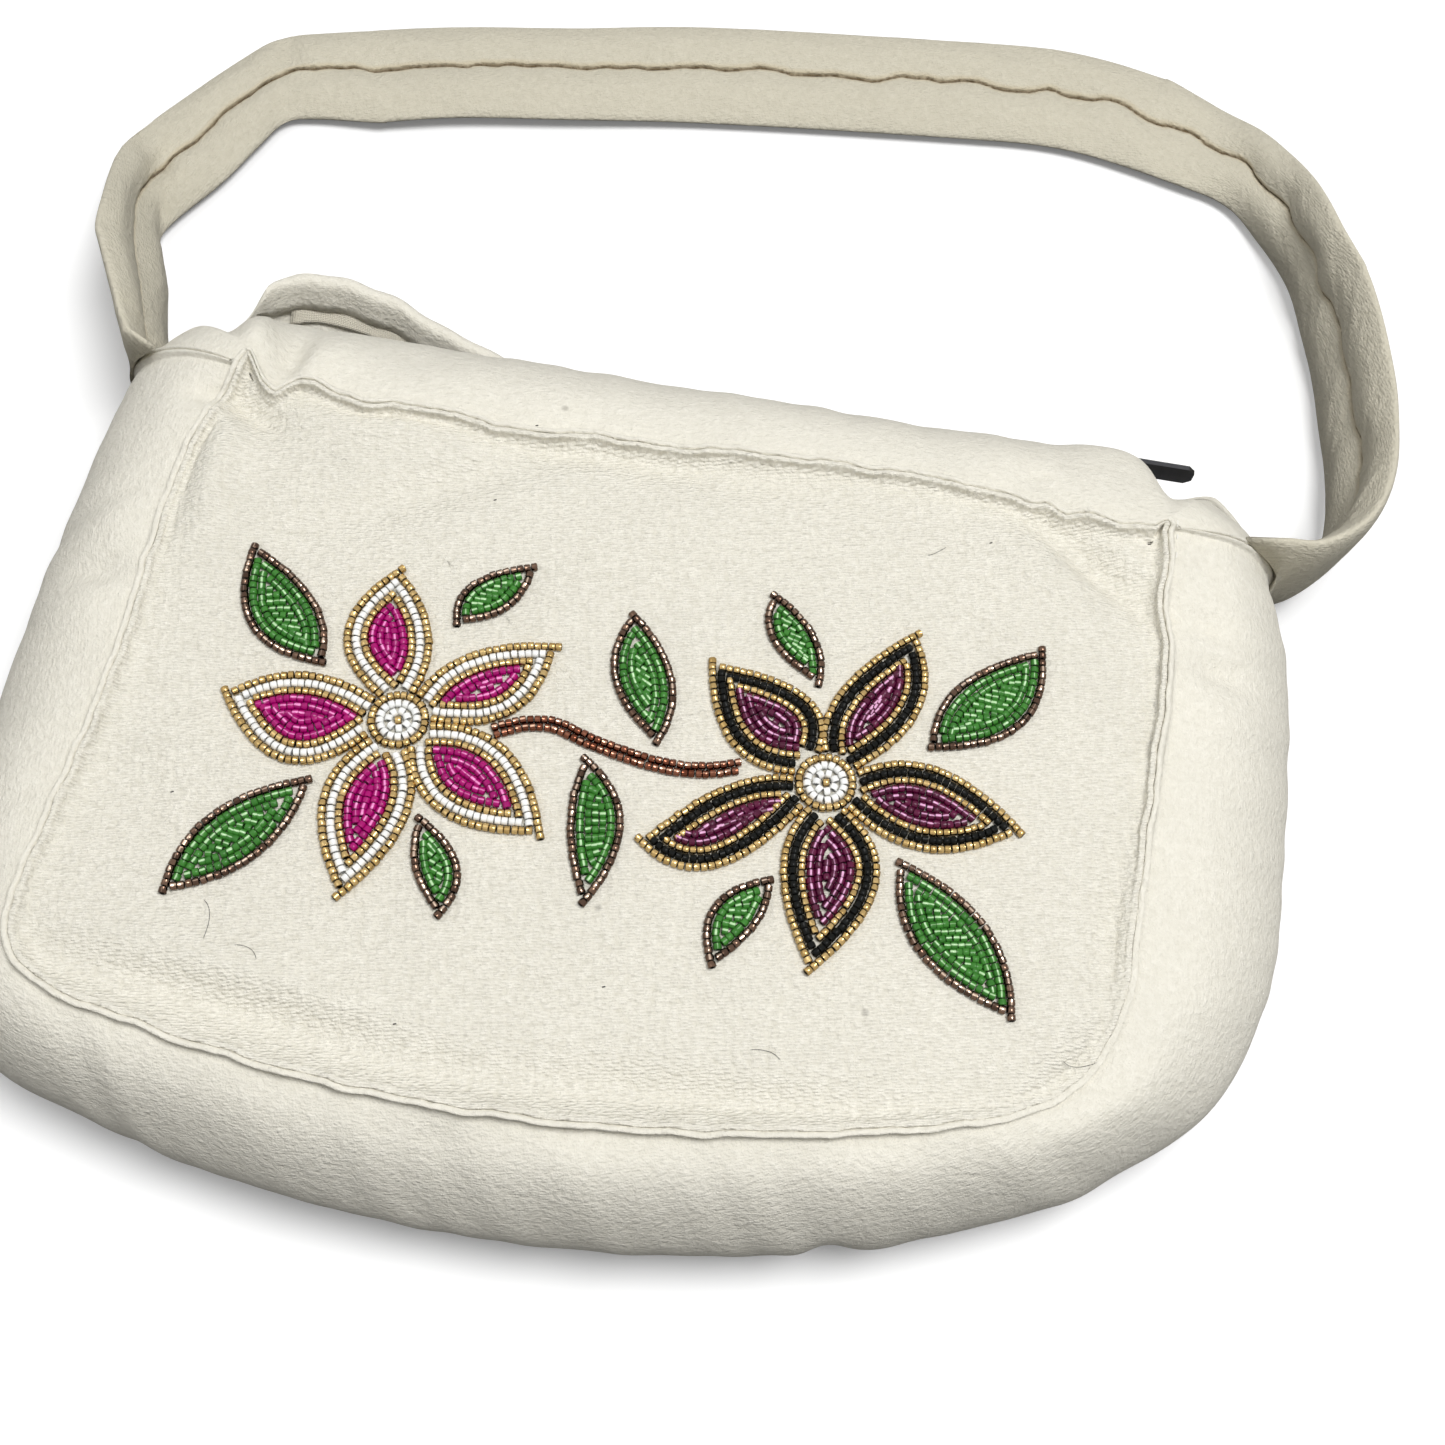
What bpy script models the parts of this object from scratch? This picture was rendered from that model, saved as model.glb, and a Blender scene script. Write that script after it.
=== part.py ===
"""A cloth shoulder bag with a beaded front, lying on its back.

Lengths are in millimetres and become metres where a mesh is made. X runs along the bag's width, Y from
its bottom to its zip mouth, and Z up from the floor. The origin is the middle of the back panel's face.
"""

import math

import bmesh
import bpy
import numpy as np
from mathutils import Matrix

MM = 0.001

# Cloth, and the gaps that pieces keep where they touch
CLOTH = 1.2
GAP = 0.3
SEWN_GAP = 0.5
BEAD_GAP = 0.5

# Front and back panels, measured along their seams
PANEL_WIDTH = 201.0
PANEL_SIDE = 130.0
BOTTOM_SAG = 15.0
LEFT_CORNER_OUT = 5.0
LEFT_CORNER_DOWN = 3.0
RIGHT_CORNER_IN = 1.0
RIGHT_CORNER_UP = 5.0
TOP_ROUND = 5.0
LEFT_ROUND = 13.0
RIGHT_ROUND = 27.0
BAG_DEPTH = 45.0

# Seam allowances, all turned to the outside
SEAM_RIDGE = 2.4
BACK_ALLOWANCE = 3.0
CORNER_FIN = 2.5

# How far the side, bottom and top cloth stands out past the panels
RIGHT_BULGE = 33.0
LEFT_BULGE = 24.0
BOTTOM_BULGE = 18.5
TOP_BULGE = 21.5
CORNER_DIP = 16.0
BULGE_BLEND = 20.0
SAG_POWER = 0.75
RIGHT_END_ANGLE = math.radians(8.0)
LEFT_END_ANGLE = math.radians(160.0)

# Zip: two coils that run side by side, and gape at the left
ZIP_HEIGHT = 20.0
COIL = 1.8
COIL_SPACE = 1.8
TAPE = 0.6
TAPE_WIDTH = 9.0
TAPE_SHOWN = 3.0
TAPE_TO_COIL = 0.8
ZIP_CLOSING = 10.0
GAPE = 15.0
GAPE_RISE = 4.0
GAPE_LEFT = 19.0
GAPE_PEAK = 12.0
GAPE_RIGHT = 70.0
SLIDER_LENGTH = 9.0
SLIDER_WALL = 0.9
SLIDER_HEIGHT = 7.6
SLIDER_TO_STOP = 0.6
STOP_LENGTH = 2.2
PULL_LENGTH = 23.0
PULL_WIDTH = 5.6
PULL_ARM = 1.1
PULL_THICK = 1.1
BRIDGE_WIDTH = 2.2
BRIDGE_SPACE = 2.4
BRIDGE_LENGTH = 7.6

# Strap, a flat folded tube
STRAP_WIDTH = 30.0
STRAP_THICK = 4.4
STRAP_END_HEIGHT = 24.0
STRAP_STEP = 12.0

# Beadwork
BEAD_ROW = 1.65
BEAD_HEIGHT = 1.3
RING_RADIUS = 6.0
NECK = 0.8
SIDE_STEPS = 6

CREAM = (0.84, 0.80, 0.69)
GOLD = (0.50, 0.33, 0.09)
WHITE = (0.86, 0.86, 0.84)
BLACK = (0.012, 0.014, 0.013)
MAGENTA = (0.42, 0.004, 0.13)
PLUM = (0.17, 0.012, 0.06)
BRONZE = (0.09, 0.045, 0.035)
GREEN = (0.035, 0.20, 0.035)
REDBROWN = (0.13, 0.035, 0.025)
GUNMETAL = (0.06, 0.06, 0.065)

# Flower centres, and for each petal its tip and the middles of its left and right side as seen from
# the centre, all measured from the centre. Petals are listed clockwise.
FLOWERS = {
    "left_flower": {
        "centre": (-44.6, -10.2),
        "band": ("white_bead", WHITE),
        "fill": ("magenta_bead", MAGENTA),
        "petals": {
            "top": ((-7.0, 32.1), (-14.4, 16.5), (2.4, 19.5)),
            "upper_right": ((26.8, 21.1), (10.5, 16.3), (21.8, 5.3)),
            "lower_right": ((31.7, -18.3), (21.7, -2.2), (11.9, -17.6)),
            "lower": ((-2.8, -36.6), (6.2, -19.4), (-11.0, -18.8)),
            "left": ((-34.3, -0.1), (-19.5, -12.2), (-20.6, 6.8)),
        },
    },
    "right_flower": {
        "centre": (37.8, -8.9),
        "band": ("black_bead", BLACK),
        "fill": ("plum_bead", PLUM),
        "petals": {
            "upper_left": ((-25.9, 21.0), (-19.4, 4.8), (-6.0, 17.6)),
            "upper_right": ((13.5, 35.2), (0.0, 19.6), (16.7, 18.6)),
            "right": ((38.4, -3.1), (20.9, 7.0), (21.0, -10.6)),
            "lower": ((2.1, -37.8), (12.6, -18.4), (-6.2, -19.6)),
            "left": ((-33.4, -18.1), (-18.4, -20.8), (-19.6, -4.2)),
        },
    },
}
# Leaves: both tips, then the middles of the left and right side as seen from the first tip
LEAVES = {
    "upper_left": ((-61.2, -1.6), (-81.1, 22.3), (-77.4, 4.4), (-65.4, 11.6)),
    "upper_middle": ((-38.6, 11.8), (-25.0, 27.6), (-37.0, 21.2), (-28.2, 16.8)),
    "lower_left": ((-80.1, -51.0), (-58.0, -23.9), (-75.0, -34.6), (-64.0, -41.4)),
    "lower_middle": ((-28.6, -47.5), (-36.6, -28.2), (-36.0, -38.4), (-27.0, -37.0)),
    "stem_upper": ((5.4, -6.9), (-4.2, 20.5), (-6.2, 5.6), (6.1, 7.4)),
    "stem_lower": ((-3.4, -41.5), (-8.2, -11.2), (-9.2, -25.6), (1.4, -23.8)),
    "top_right": ((34.6, 11.2), (22.5, 29.9), (23.0, 19.0), (32.2, 21.6)),
    "far_right": ((56.7, 1.1), (77.2, 26.7), (60.6, 15.8), (74.4, 9.4)),
    "lower_right": ((78.1, -48.7), (53.4, -21.6), (58.6, -39.4), (71.2, -31.6)),
    "lower_centre": ((21.2, -48.7), (30.4, -29.0), (20.0, -36.6), (29.2, -39.0)),
}
STEM = ((-23.6, -8.0), (-19.6, -6.6), (-14.6, -6.3), (-6.9, -8.6), (3.2, -10.6), (11.5, -10.8), (17.6, -9.6))

# The strap's middle line, as places measured from its left or right end in the direction of the mouth.
# Each has the height of the strap's lowest edge above the floor, and how far its outer edge is raised: 0
# where it lies flat, 1 where it stands upright, and less than 0 where the inner edge is the raised one.
STRAP_FROM_LEFT = (
    (-4.3, 12.0, 7.0, 0.90),
    (-9.5, 28.3, 3.0, 0.85),
    (-15.1, 45.0, 0.9, 0.92),
    (-15.9, 57.4, 1.0, 0.86),
    (-17.0, 67.3, 1.2, 0.58),
    (-14.8, 77.3, 1.3, 0.26),
    (-5.9, 88.1, 0.9, 0.05),
    (6.0, 101.7, 0.5, 0.0),
    (38.0, 112.4, 0.4, -0.03),
    (72.9, 119.5, 0.4, -0.02),
    (107.5, 126.1, 0.4, 0.02),
)
STRAP_FROM_RIGHT = (
    (-82.0, 138.0, 0.4, 0.03),
    (-51.1, 140.5, 0.4, 0.04),
    (-26.1, 136.8, 0.7, 0.03),
    (-5.4, 130.0, 1.1, 0.08),
    (3.4, 121.8, 1.3, 0.38),
    (4.9, 111.5, 1.1, 0.70),
    (9.8, 99.2, 0.9, 0.92),
    (18.4, 74.7, 0.5, 0.90),
    (22.0, 55.6, 0.8, 0.87),
    (23.3, 41.8, 1.8, 0.88),
    (22.6, 25.7, 3.6, 0.90),
    (17.8, 12.0, 6.0, 0.93),
    (8.6, 2.5, 8.0, 0.97),
)


def clear_scene():
    for old in list(bpy.data.objects):
        bpy.data.objects.remove(old, do_unlink=True)


def material(name, colour, roughness, metallic=0.0):
    found = bpy.data.materials.get(name) or bpy.data.materials.new(name)
    found.use_nodes = True
    shader = found.node_tree.nodes["Principled BSDF"]
    shader.inputs["Base Color"].default_value = (*colour, 1.0)
    shader.inputs["Roughness"].default_value = roughness
    shader.inputs["Metallic"].default_value = metallic
    return found


def add_object(name, mesh, look, origin=(0.0, 0.0, 0.0)):
    """Links a mesh given in metres, with its origin moved to a place given in millimetres."""
    place = np.array(origin) * MM
    mesh.transform(Matrix.Translation(-place))
    mesh.shade_smooth()
    mesh.set_sharp_from_angle(angle=math.radians(40.0))
    mesh.materials.append(look)
    made = bpy.data.objects.new(name, mesh)
    made.location = place
    bpy.context.scene.collection.objects.link(made)
    return made


def loft(name, sections, closed=False, ladder=False):
    """One solid through closed sections of equally many points: capped at both ends, or joined in a loop.

    A ladder cap joins a section's first half to its second half point by point, so it follows a curved end.
    """
    build = bmesh.new()
    rings = [[build.verts.new(tuple(point * MM)) for point in section] for section in sections]
    for first, second in zip(rings, rings[1:] + (rings[:1] if closed else [])):
        for k in range(len(first)):
            after = (k + 1) % len(first)
            build.faces.new((first[k], first[after], second[after], second[k]))
    for ring in [] if closed else [rings[0], rings[-1]]:
        if ladder:
            rungs = list(zip(ring[: len(ring) // 2], ring[::-1]))
            for (a, d), (b, c) in zip(rungs, rungs[1:]):
                build.faces.new((a, b, c, d))
        else:
            build.faces.new(ring)
    bmesh.ops.recalc_face_normals(build, faces=build.faces)
    mesh = bpy.data.meshes.new(name)
    build.to_mesh(mesh)
    build.free()
    return mesh


def plate(name, outline, bottom, top):
    """A flat plate over a closed outline."""
    return loft(name, [np.column_stack([outline, np.full(len(outline), level)]) for level in (bottom, top)])


def box(name, low, high):
    (x0, y0, z0), (x1, y1, z1) = low, high
    return plate(name, np.array([(x0, y0), (x1, y0), (x1, y1), (x0, y1)]), z0, z1)


def combine(target, helper, operation):
    """Adds a helper to the target, or cuts it away, with a Boolean."""
    helper.hide_render = True
    helper.display_type = "WIRE"
    step = target.modifiers.new(operation.lower() + "_" + helper.name, "BOOLEAN")
    step.operation = operation
    step.object = helper


def quadratic(start, middle, end, steps):
    """A quadratic curve from start to end that passes through middle halfway."""
    start, middle, end = (np.array(point, float) for point in (start, middle, end))
    control = 2 * middle - (start + end) / 2
    t = np.linspace(0, 1, steps + 1)[:, None]
    return (1 - t) ** 2 * start + 2 * t * (1 - t) * control + t**2 * end


def smooth_through(points, spacing):
    """A smooth curve through the points, with samples about one spacing apart."""
    points = np.array(points, float)
    padded = np.vstack([2 * points[0] - points[1], points, 2 * points[-1] - points[-2]])
    samples = []
    for a, b, c, d in zip(padded, padded[1:], padded[2:], padded[3:]):
        steps = max(2, round(float(np.linalg.norm((c - b)[:2])) / spacing))
        t = np.linspace(0, 1, steps, endpoint=False)[:, None]
        start_pull, end_pull = (c - a) / 2, (d - b) / 2
        samples.append((2 * t**3 - 3 * t**2 + 1) * b + (3 * t**2 - 2 * t**3) * c)
        samples[-1] += (t**3 - 2 * t**2 + t) * start_pull + (t**3 - t**2) * end_pull
    return np.vstack([*samples, points[-1:]])


def directions(path):
    steps = np.gradient(path, axis=0)
    return steps / np.linalg.norm(steps, axis=1, keepdims=True)


def left_of(directions_in_plan):
    return np.column_stack([-directions_in_plan[:, 1], directions_in_plan[:, 0]])


def smoothstep(value):
    t = np.clip(value, 0.0, 1.0)
    return t * t * (3 - 2 * t)


def panel_path():
    """The seam line in fine steps, clockwise from the middle of the top edge as seen from the front."""
    half_width, half_side = PANEL_WIDTH / 2, PANEL_SIDE / 2
    corners = [
        ((half_width, half_side), TOP_ROUND),
        ((half_width - RIGHT_CORNER_IN, RIGHT_CORNER_UP - half_side), RIGHT_ROUND),
        ((-half_width - LEFT_CORNER_OUT, -half_side - LEFT_CORNER_DOWN), LEFT_ROUND),
        ((-half_width, half_side), TOP_ROUND),
    ]
    sags = [0.0, 0.0, BOTTOM_SAG, 0.0]
    trimmed = []
    for k, (corner, rounding) in enumerate(corners):
        before, rounding_before = corners[k - 1]
        middle = (np.array(before) + np.array(corner)) / 2 - (0.0, sags[k])
        edge = quadratic(before, middle, corner, 400)
        from_start = np.linalg.norm(edge - edge[0], axis=1)
        from_end = np.linalg.norm(edge - edge[-1], axis=1)
        trimmed.append(edge[(from_start >= rounding_before) & (from_end >= rounding)])
    pieces = []
    for k, edge in enumerate(trimmed):
        after = trimmed[(k + 1) % 4]
        middle = edge[-1] / 4 + np.array(corners[k][0]) / 2 + after[0] / 4
        pieces += [edge[:-1], quadratic(edge[-1], middle, after[0], 60)[:-1]]
    path = np.vstack(pieces)
    start = int(np.argmin(np.abs(path[: len(trimmed[0]), 0])))
    path = np.roll(path, -start, axis=0)
    return np.vstack([path, path[:1]])


class Seam:
    """The seam line with its outward normals and the bulge of the wall on it, read at any place."""

    def __init__(self):
        self.path = panel_path()
        steps = np.roll(self.path[:-1], -1, axis=0) - np.roll(self.path[:-1], 1, axis=0)
        steps = np.vstack([steps, steps[:1]])
        normal = left_of(steps / np.linalg.norm(steps, axis=1, keepdims=True))
        angle = np.unwrap(np.arctan2(normal[:, 1], normal[:, 0]))
        self.angle = angle - angle[0] + math.pi / 2
        length = np.linalg.norm(np.diff(self.path, axis=0), axis=1)
        turn = np.abs(np.diff(self.angle))
        self.measure = np.concatenate([[0.0], np.cumsum(length + turn * TOP_BULGE)])
        self.reach = self.blended(raw_bulge(self.normals(self.angle)), length)

    def normals(self, angle):
        return np.column_stack([np.cos(angle), np.sin(angle)])

    def blended(self, raw, length):
        """The bulge evened out along the seam, but left as it is along the straight top."""
        along = np.concatenate([[0.0], np.cumsum(length)])
        smooth = np.empty_like(raw)
        for k, place in enumerate(along):
            apart = np.abs(along[:-1] - place)
            apart = np.minimum(apart, along[-1] - apart)
            weight = length * np.exp(-((apart / BULGE_BLEND) ** 2))
            smooth[k] = (weight * raw[:-1]).sum() / weight.sum()
        share = smoothstep((1 - np.sin(self.angle)) * 4)
        return raw * (1 - share) + smooth * share

    def place(self, measure):
        """Points, outward normals and bulges at places along the seam."""
        point = np.column_stack([np.interp(measure, self.measure, self.path[:, k]) for k in (0, 1)])
        angle = np.interp(measure, self.measure, self.angle)
        return point, self.normals(angle), np.interp(measure, self.measure, self.reach)

    def at_angle(self, angle):
        """The place where the outward normal has turned to this angle."""
        return float(np.interp(-angle, -self.angle, self.measure))


def raw_bulge(normal):
    """How far the cloth stands out where the seam faces this way."""
    side = np.where(normal[:, 0] > 0, RIGHT_BULGE, LEFT_BULGE)
    end = np.where(normal[:, 1] > 0, TOP_BULGE, BOTTOM_BULGE)
    dip = CORNER_DIP * 4 * normal[:, 0] ** 2 * normal[:, 1] ** 2
    return side * normal[:, 0] ** 2 + end * normal[:, 1] ** 2 - dip


RIDGE_MIDDLE = GAP / 2 + CLOTH / 2
FRONT_START = BAG_DEPTH - CLOTH / 2
BACK_END = CLOTH + GAP + CLOTH / 2


def wall_curve(turn, reach):
    """Outward distance and height on the wall, for a turn of 0 at its front seam to pi at its back seam."""
    fall = ((1 - np.cos(turn)) / 2) ** SAG_POWER
    height = FRONT_START + (BACK_END - FRONT_START) * fall
    return np.column_stack([RIDGE_MIDDLE + reach * np.sin(turn), height])


def turn_at(height):
    fall = (height - FRONT_START) / (BACK_END - FRONT_START)
    return math.acos(1 - 2 * fall ** (1 / SAG_POWER))


def thicken(line, outer, inner):
    """A closed section around a line of (outward, height) points that goes down the outside."""
    side = left_of(directions(line))
    return np.vstack([line + side * outer, (line + side * inner)[::-1]])


def in_space(section, point, normal):
    """Puts a section of (outward, height) points at a place on the seam line."""
    return np.column_stack([point + section[:, :1] * normal, section[:, 1]])


def slot_half(x):
    """Half the height between the two top strips' edges, which close on each other past the zip's ends."""
    past = smoothstep((abs(x) - zip_half()) / ZIP_CLOSING)
    return (COIL_SPACE / 2 + COIL + TAPE_SHOWN) * (1 - past) + GAP * past


def gape(x):
    """How far the back half of the mouth stands away from the front half."""
    left, right = -PANEL_WIDTH / 2 - GAPE_LEFT, -PANEL_WIDTH / 2 + GAPE_RIGHT
    peak = -PANEL_WIDTH / 2 + GAPE_PEAK
    return GAPE * smoothstep((x - left) / (peak - left)) * smoothstep((right - x) / (right - peak))


def open_mouth(section, shares, x):
    """Moves part of a section away from the front of the bag and up where the mouth gapes."""
    moved = section.copy()
    moved[:, 1] += gape(x) * shares
    moved[:, 2] += gape(x) / GAPE * GAPE_RISE * shares
    return moved


def mouth_share(turns, edge):
    """How much of the gape the back strip takes part in, from all of it at the zip to none at its seam."""
    return np.clip((math.pi - turns) / (math.pi - edge), 0.0, 1.0) ** 1.3


def wall_sections(seam, places, edge_heights, steps, gapes=False):
    """Sections of a cloth wall between two edges, given as functions of x, or None for the panels' seams."""
    first_edge, last_edge = edge_heights
    sections = []
    for point, normal, reach in zip(*seam.place(places)):
        x = float(point[0] + normal[0] * reach)
        first = turn_at(first_edge(x)) if first_edge else 0.0
        last = turn_at(last_edge(x)) if last_edge else math.pi
        turns = np.linspace(first, last, steps)
        line = wall_curve(turns, reach)
        if not first_edge:
            line = np.vstack([(RIDGE_MIDDLE, BAG_DEPTH + SEAM_RIDGE), line])
        section = in_space(thicken(line, CLOTH / 2, -CLOTH / 2), point, normal)
        if gapes:
            shares = mouth_share(turns, first)
            section = open_mouth(section, np.concatenate([shares, shares[::-1]]), x)
        sections.append(section)
    return sections


def part_ends(sections):
    """Pulls both end sections back by half a gap, and turns the seam allowance there outward as a fin."""
    first, second = sections[0], sections[1]
    last, before = sections[-1], sections[-2]
    start, stop = [], []
    for made, end, towards in ((start, first, second), (stop, last, before)):
        edge, fold = (moved_in(end, towards, distance) for distance in (GAP / 2, GAP / 2 + CLOTH))
        made += [raised(edge), raised(fold), fold]
    return [*start, *sections[1:-1], *stop[::-1]]


def moved_in(section, towards, distance):
    """The section moved towards the next: by a distance where they are furthest apart, less elsewhere."""
    step = towards - section
    return section + step * min(0.9, distance / np.linalg.norm(step, axis=1).max())


def raised(section):
    """The section with its outer side pushed out as a fin, save near the seams and the floor."""
    half = len(section) // 2
    outer, inner = section[:half], section[half:][::-1]
    away = (outer - inner) / np.linalg.norm(outer - inner, axis=1, keepdims=True)
    from_seams = smoothstep(np.sin(np.linspace(0, math.pi, half)) * 2.5)
    off_floor = smoothstep(1 + away[:, 2] * 2)
    return np.vstack([outer + away * CORNER_FIN * (from_seams * off_floor)[:, None], section[half:]])


def panel_places(seam):
    return np.linspace(0, seam.measure[-1], 56, endpoint=False)


def build_panels(seam, cloth):
    """The front panel, whose edge turns up as one ply of the seam's ridge, and the back panel."""
    points, normals, _ = seam.place(panel_places(seam))
    outside = points - normals * GAP / 2
    inside = outside - normals * CLOTH
    levels = [
        (outside, BAG_DEPTH - CLOTH),
        (outside, BAG_DEPTH + SEAM_RIDGE),
        (inside, BAG_DEPTH + SEAM_RIDGE),
        (inside, BAG_DEPTH),
    ]
    rings = [np.column_stack([ring, np.full(len(ring), level)]) for ring, level in levels]
    add_object("front_panel", loft("front_panel", rings), cloth)
    add_object("back_panel", plate("back_panel", points + normals * BACK_ALLOWANCE, 0.0, CLOTH), cloth)


def zip_half():
    """Half the zip's length: it ends where the top seam starts to turn."""
    return PANEL_WIDTH / 2 - TOP_ROUND


def mouth_stations():
    return np.linspace(-zip_half(), zip_half(), 21)


def build_walls(seam, cloth):
    """The gusset round the sides and bottom, and the two strips along the top that carry the zip."""
    right, left = seam.at_angle(RIGHT_END_ANGLE), seam.at_angle(LEFT_END_ANGLE - 2 * math.pi)
    gusset = wall_sections(seam, np.linspace(right, left, 42), (None, None), 12)
    add_object("gusset", loft("gusset", part_ends(gusset), ladder=True), cloth)
    whole = seam.measure[-1]
    before = np.linspace(left, whole - zip_half(), 8)[:-1]
    after = np.linspace(zip_half(), right, 8)[1:]
    places = np.concatenate([before, mouth_stations() % whole, after])
    front = wall_sections(seam, places, (None, lambda x: ZIP_HEIGHT + slot_half(x)), 8)
    add_object("top_strip_front", loft("top_strip_front", part_ends(front), ladder=True), cloth)
    back = wall_sections(seam, places, (lambda x: ZIP_HEIGHT - slot_half(x), None), 8, gapes=True)
    add_object("top_strip_back", loft("top_strip_back", part_ends(back), ladder=True), cloth)


def zip_line():
    """Y of the zip's middle plane, which lies just inside the top strips."""
    inset = CLOTH / 2 + SEWN_GAP + TAPE / 2
    return PANEL_SIDE / 2 + float(wall_curve(np.array([turn_at(ZIP_HEIGHT)]), TOP_BULGE)[0, 0]) - inset


def zip_sections(line, x_places, shares=None):
    """Sections of a zip part along X, where the back one follows the gape of the mouth."""
    sections = []
    for x in x_places:
        section = np.column_stack([np.full(len(line), x), line])
        sections.append(section if shares is None else open_mouth(section, shares, x))
    return sections


def tape_line(from_height, to_height):
    """The closed section of a tape that follows the inner side of its strip."""
    turns = np.linspace(turn_at(from_height), turn_at(to_height), 4)
    line = wall_curve(turns, TOP_BULGE)
    side = left_of(directions(line)) * (1 if to_height < from_height else -1)
    middle = line - side * (CLOTH / 2 + SEWN_GAP + TAPE / 2)
    section = np.vstack([middle + side * TAPE / 2, (middle - side * TAPE / 2)[::-1]])
    section[:, 0] += PANEL_SIDE / 2
    return section, np.concatenate([turns, turns[::-1]])


def coil_line(low, high):
    y = zip_line()
    half = COIL / 2
    return np.array([(y - half, low), (y + half, low), (y + half, high), (y - half, high)])


def build_zip(tape_look, coil_look, metal):
    """Tapes, coils, end stop, slider and pull."""
    stop_start = zip_half() - STOP_LENGTH
    tape_x = mouth_stations()
    coil_x = np.append(tape_x[tape_x < stop_start - 2 * GAP], stop_start - GAP)
    near, far = COIL_SPACE / 2, COIL_SPACE / 2 + COIL
    edge = turn_at(ZIP_HEIGHT - slot_half(0.0))
    for name, side in (("front", 1), ("back", -1)):
        line, turns = tape_line(ZIP_HEIGHT + side * (far + TAPE_TO_COIL), ZIP_HEIGHT + side * TAPE_WIDTH)
        shares = None if side > 0 else mouth_share(turns, edge)
        tape = loft("zip_tape_" + name, zip_sections(line, tape_x, shares), ladder=True)
        add_object("zip_tape_" + name, tape, tape_look)
        coil = coil_line(*sorted((ZIP_HEIGHT + side * near, ZIP_HEIGHT + side * far)))
        coil_mesh = loft("zip_coil_" + name, zip_sections(coil, coil_x, None if side > 0 else np.ones(4)))
        add_object("zip_coil_" + name, coil_mesh, coil_look)
    y = zip_line()
    low, high = (stop_start, y - COIL, ZIP_HEIGHT - far), (zip_half(), y + COIL, ZIP_HEIGHT + far)
    add_object("zip_end_stop", box("zip_end_stop", low, high), metal)
    build_slider(y, stop_start - SLIDER_TO_STOP, metal)


def build_slider(y, right_end, metal):
    """The slider: two plates joined by the post between the coils, with a bridge that holds the pull."""
    middle = right_end - SLIDER_LENGTH / 2
    near = COIL / 2 + GAP
    far = near + SLIDER_WALL
    half, post = SLIDER_HEIGHT / 2, COIL_SPACE / 2 - GAP
    quarter = [(far, half), (near, half), (near, post)]
    beam = [*quarter, *[(-across, up) for across, up in quarter[::-1]]]
    beam += [(across, -up) for across, up in beam[::-1]]
    section = np.array([(y + across, ZIP_HEIGHT + up) for across, up in beam])
    ends = right_end - SLIDER_LENGTH, right_end
    rings = [np.column_stack([np.full(len(section), x), section]) for x in ends]
    slider = add_object("zip_slider", loft("zip_slider", rings), metal, (middle, y, ZIP_HEIGHT))
    foot, roof = y + far - SLIDER_WALL / 2, y + far + BRIDGE_SPACE
    outside, inside = BRIDGE_LENGTH / 2, BRIDGE_LENGTH / 2 - SLIDER_WALL
    arch = [(-outside, foot), (-inside, foot), (-inside, roof), (inside, roof), (inside, foot)]
    arch += [(outside, foot), (outside, roof + SLIDER_WALL), (-outside, roof + SLIDER_WALL)]
    levels = [ZIP_HEIGHT + side * BRIDGE_WIDTH / 2 for side in (-1, 1)]
    bridge = plate("slider_bridge", np.array([(middle + along, up) for along, up in arch]), *levels)
    combine(slider, add_object("slider_bridge", bridge, metal), "UNION")
    build_pull(middle, y + far + BRIDGE_SPACE / 2, metal)


def build_pull(x, y, metal):
    """The pull: a tab with a square eye, whose bar turns under the slider's bridge."""
    bar = PULL_THICK / 2
    inner = BRIDGE_WIDTH / 2 + GAP
    outer = inner + PULL_ARM
    clear = math.hypot(BRIDGE_LENGTH / 2, BRIDGE_SPACE / 2 + SLIDER_WALL) + GAP
    half = max(PULL_WIDTH / 2, outer)
    outline = [(-bar, -outer), (clear, -outer), (clear + 1.5, -half), (PULL_LENGTH - 1.5, -half),
               (PULL_LENGTH, 1.5 - half), (PULL_LENGTH, half - 1.5), (PULL_LENGTH - 1.5, half),
               (clear + 1.5, half), (clear, outer), (-bar, outer)]
    rings = []
    for level in (y - bar, y + bar):
        rings.append(np.array([(x + along, level, ZIP_HEIGHT + across) for along, across in outline]))
    pull = add_object("zip_pull", loft("zip_pull", rings), metal, (x, y, ZIP_HEIGHT))
    low = (x + bar, y - 2 * bar, ZIP_HEIGHT - inner)
    high = (x + clear, y + 2 * bar, ZIP_HEIGHT + inner)
    combine(pull, add_object("pull_eye", box("pull_eye", low, high), metal), "DIFFERENCE")


def outside_at(heights, reach):
    """How far out a piece that is sewn to a corner fin starts, at these heights on a wall of this bulge."""
    wall = wall_curve(np.linspace(0, math.pi, 60), reach)
    outside = (wall + left_of(directions(wall)) * (CLOTH / 2 + CORNER_FIN + SEWN_GAP))[::-1]
    return np.interp(heights, outside[:, 1], outside[:, 0])


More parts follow.
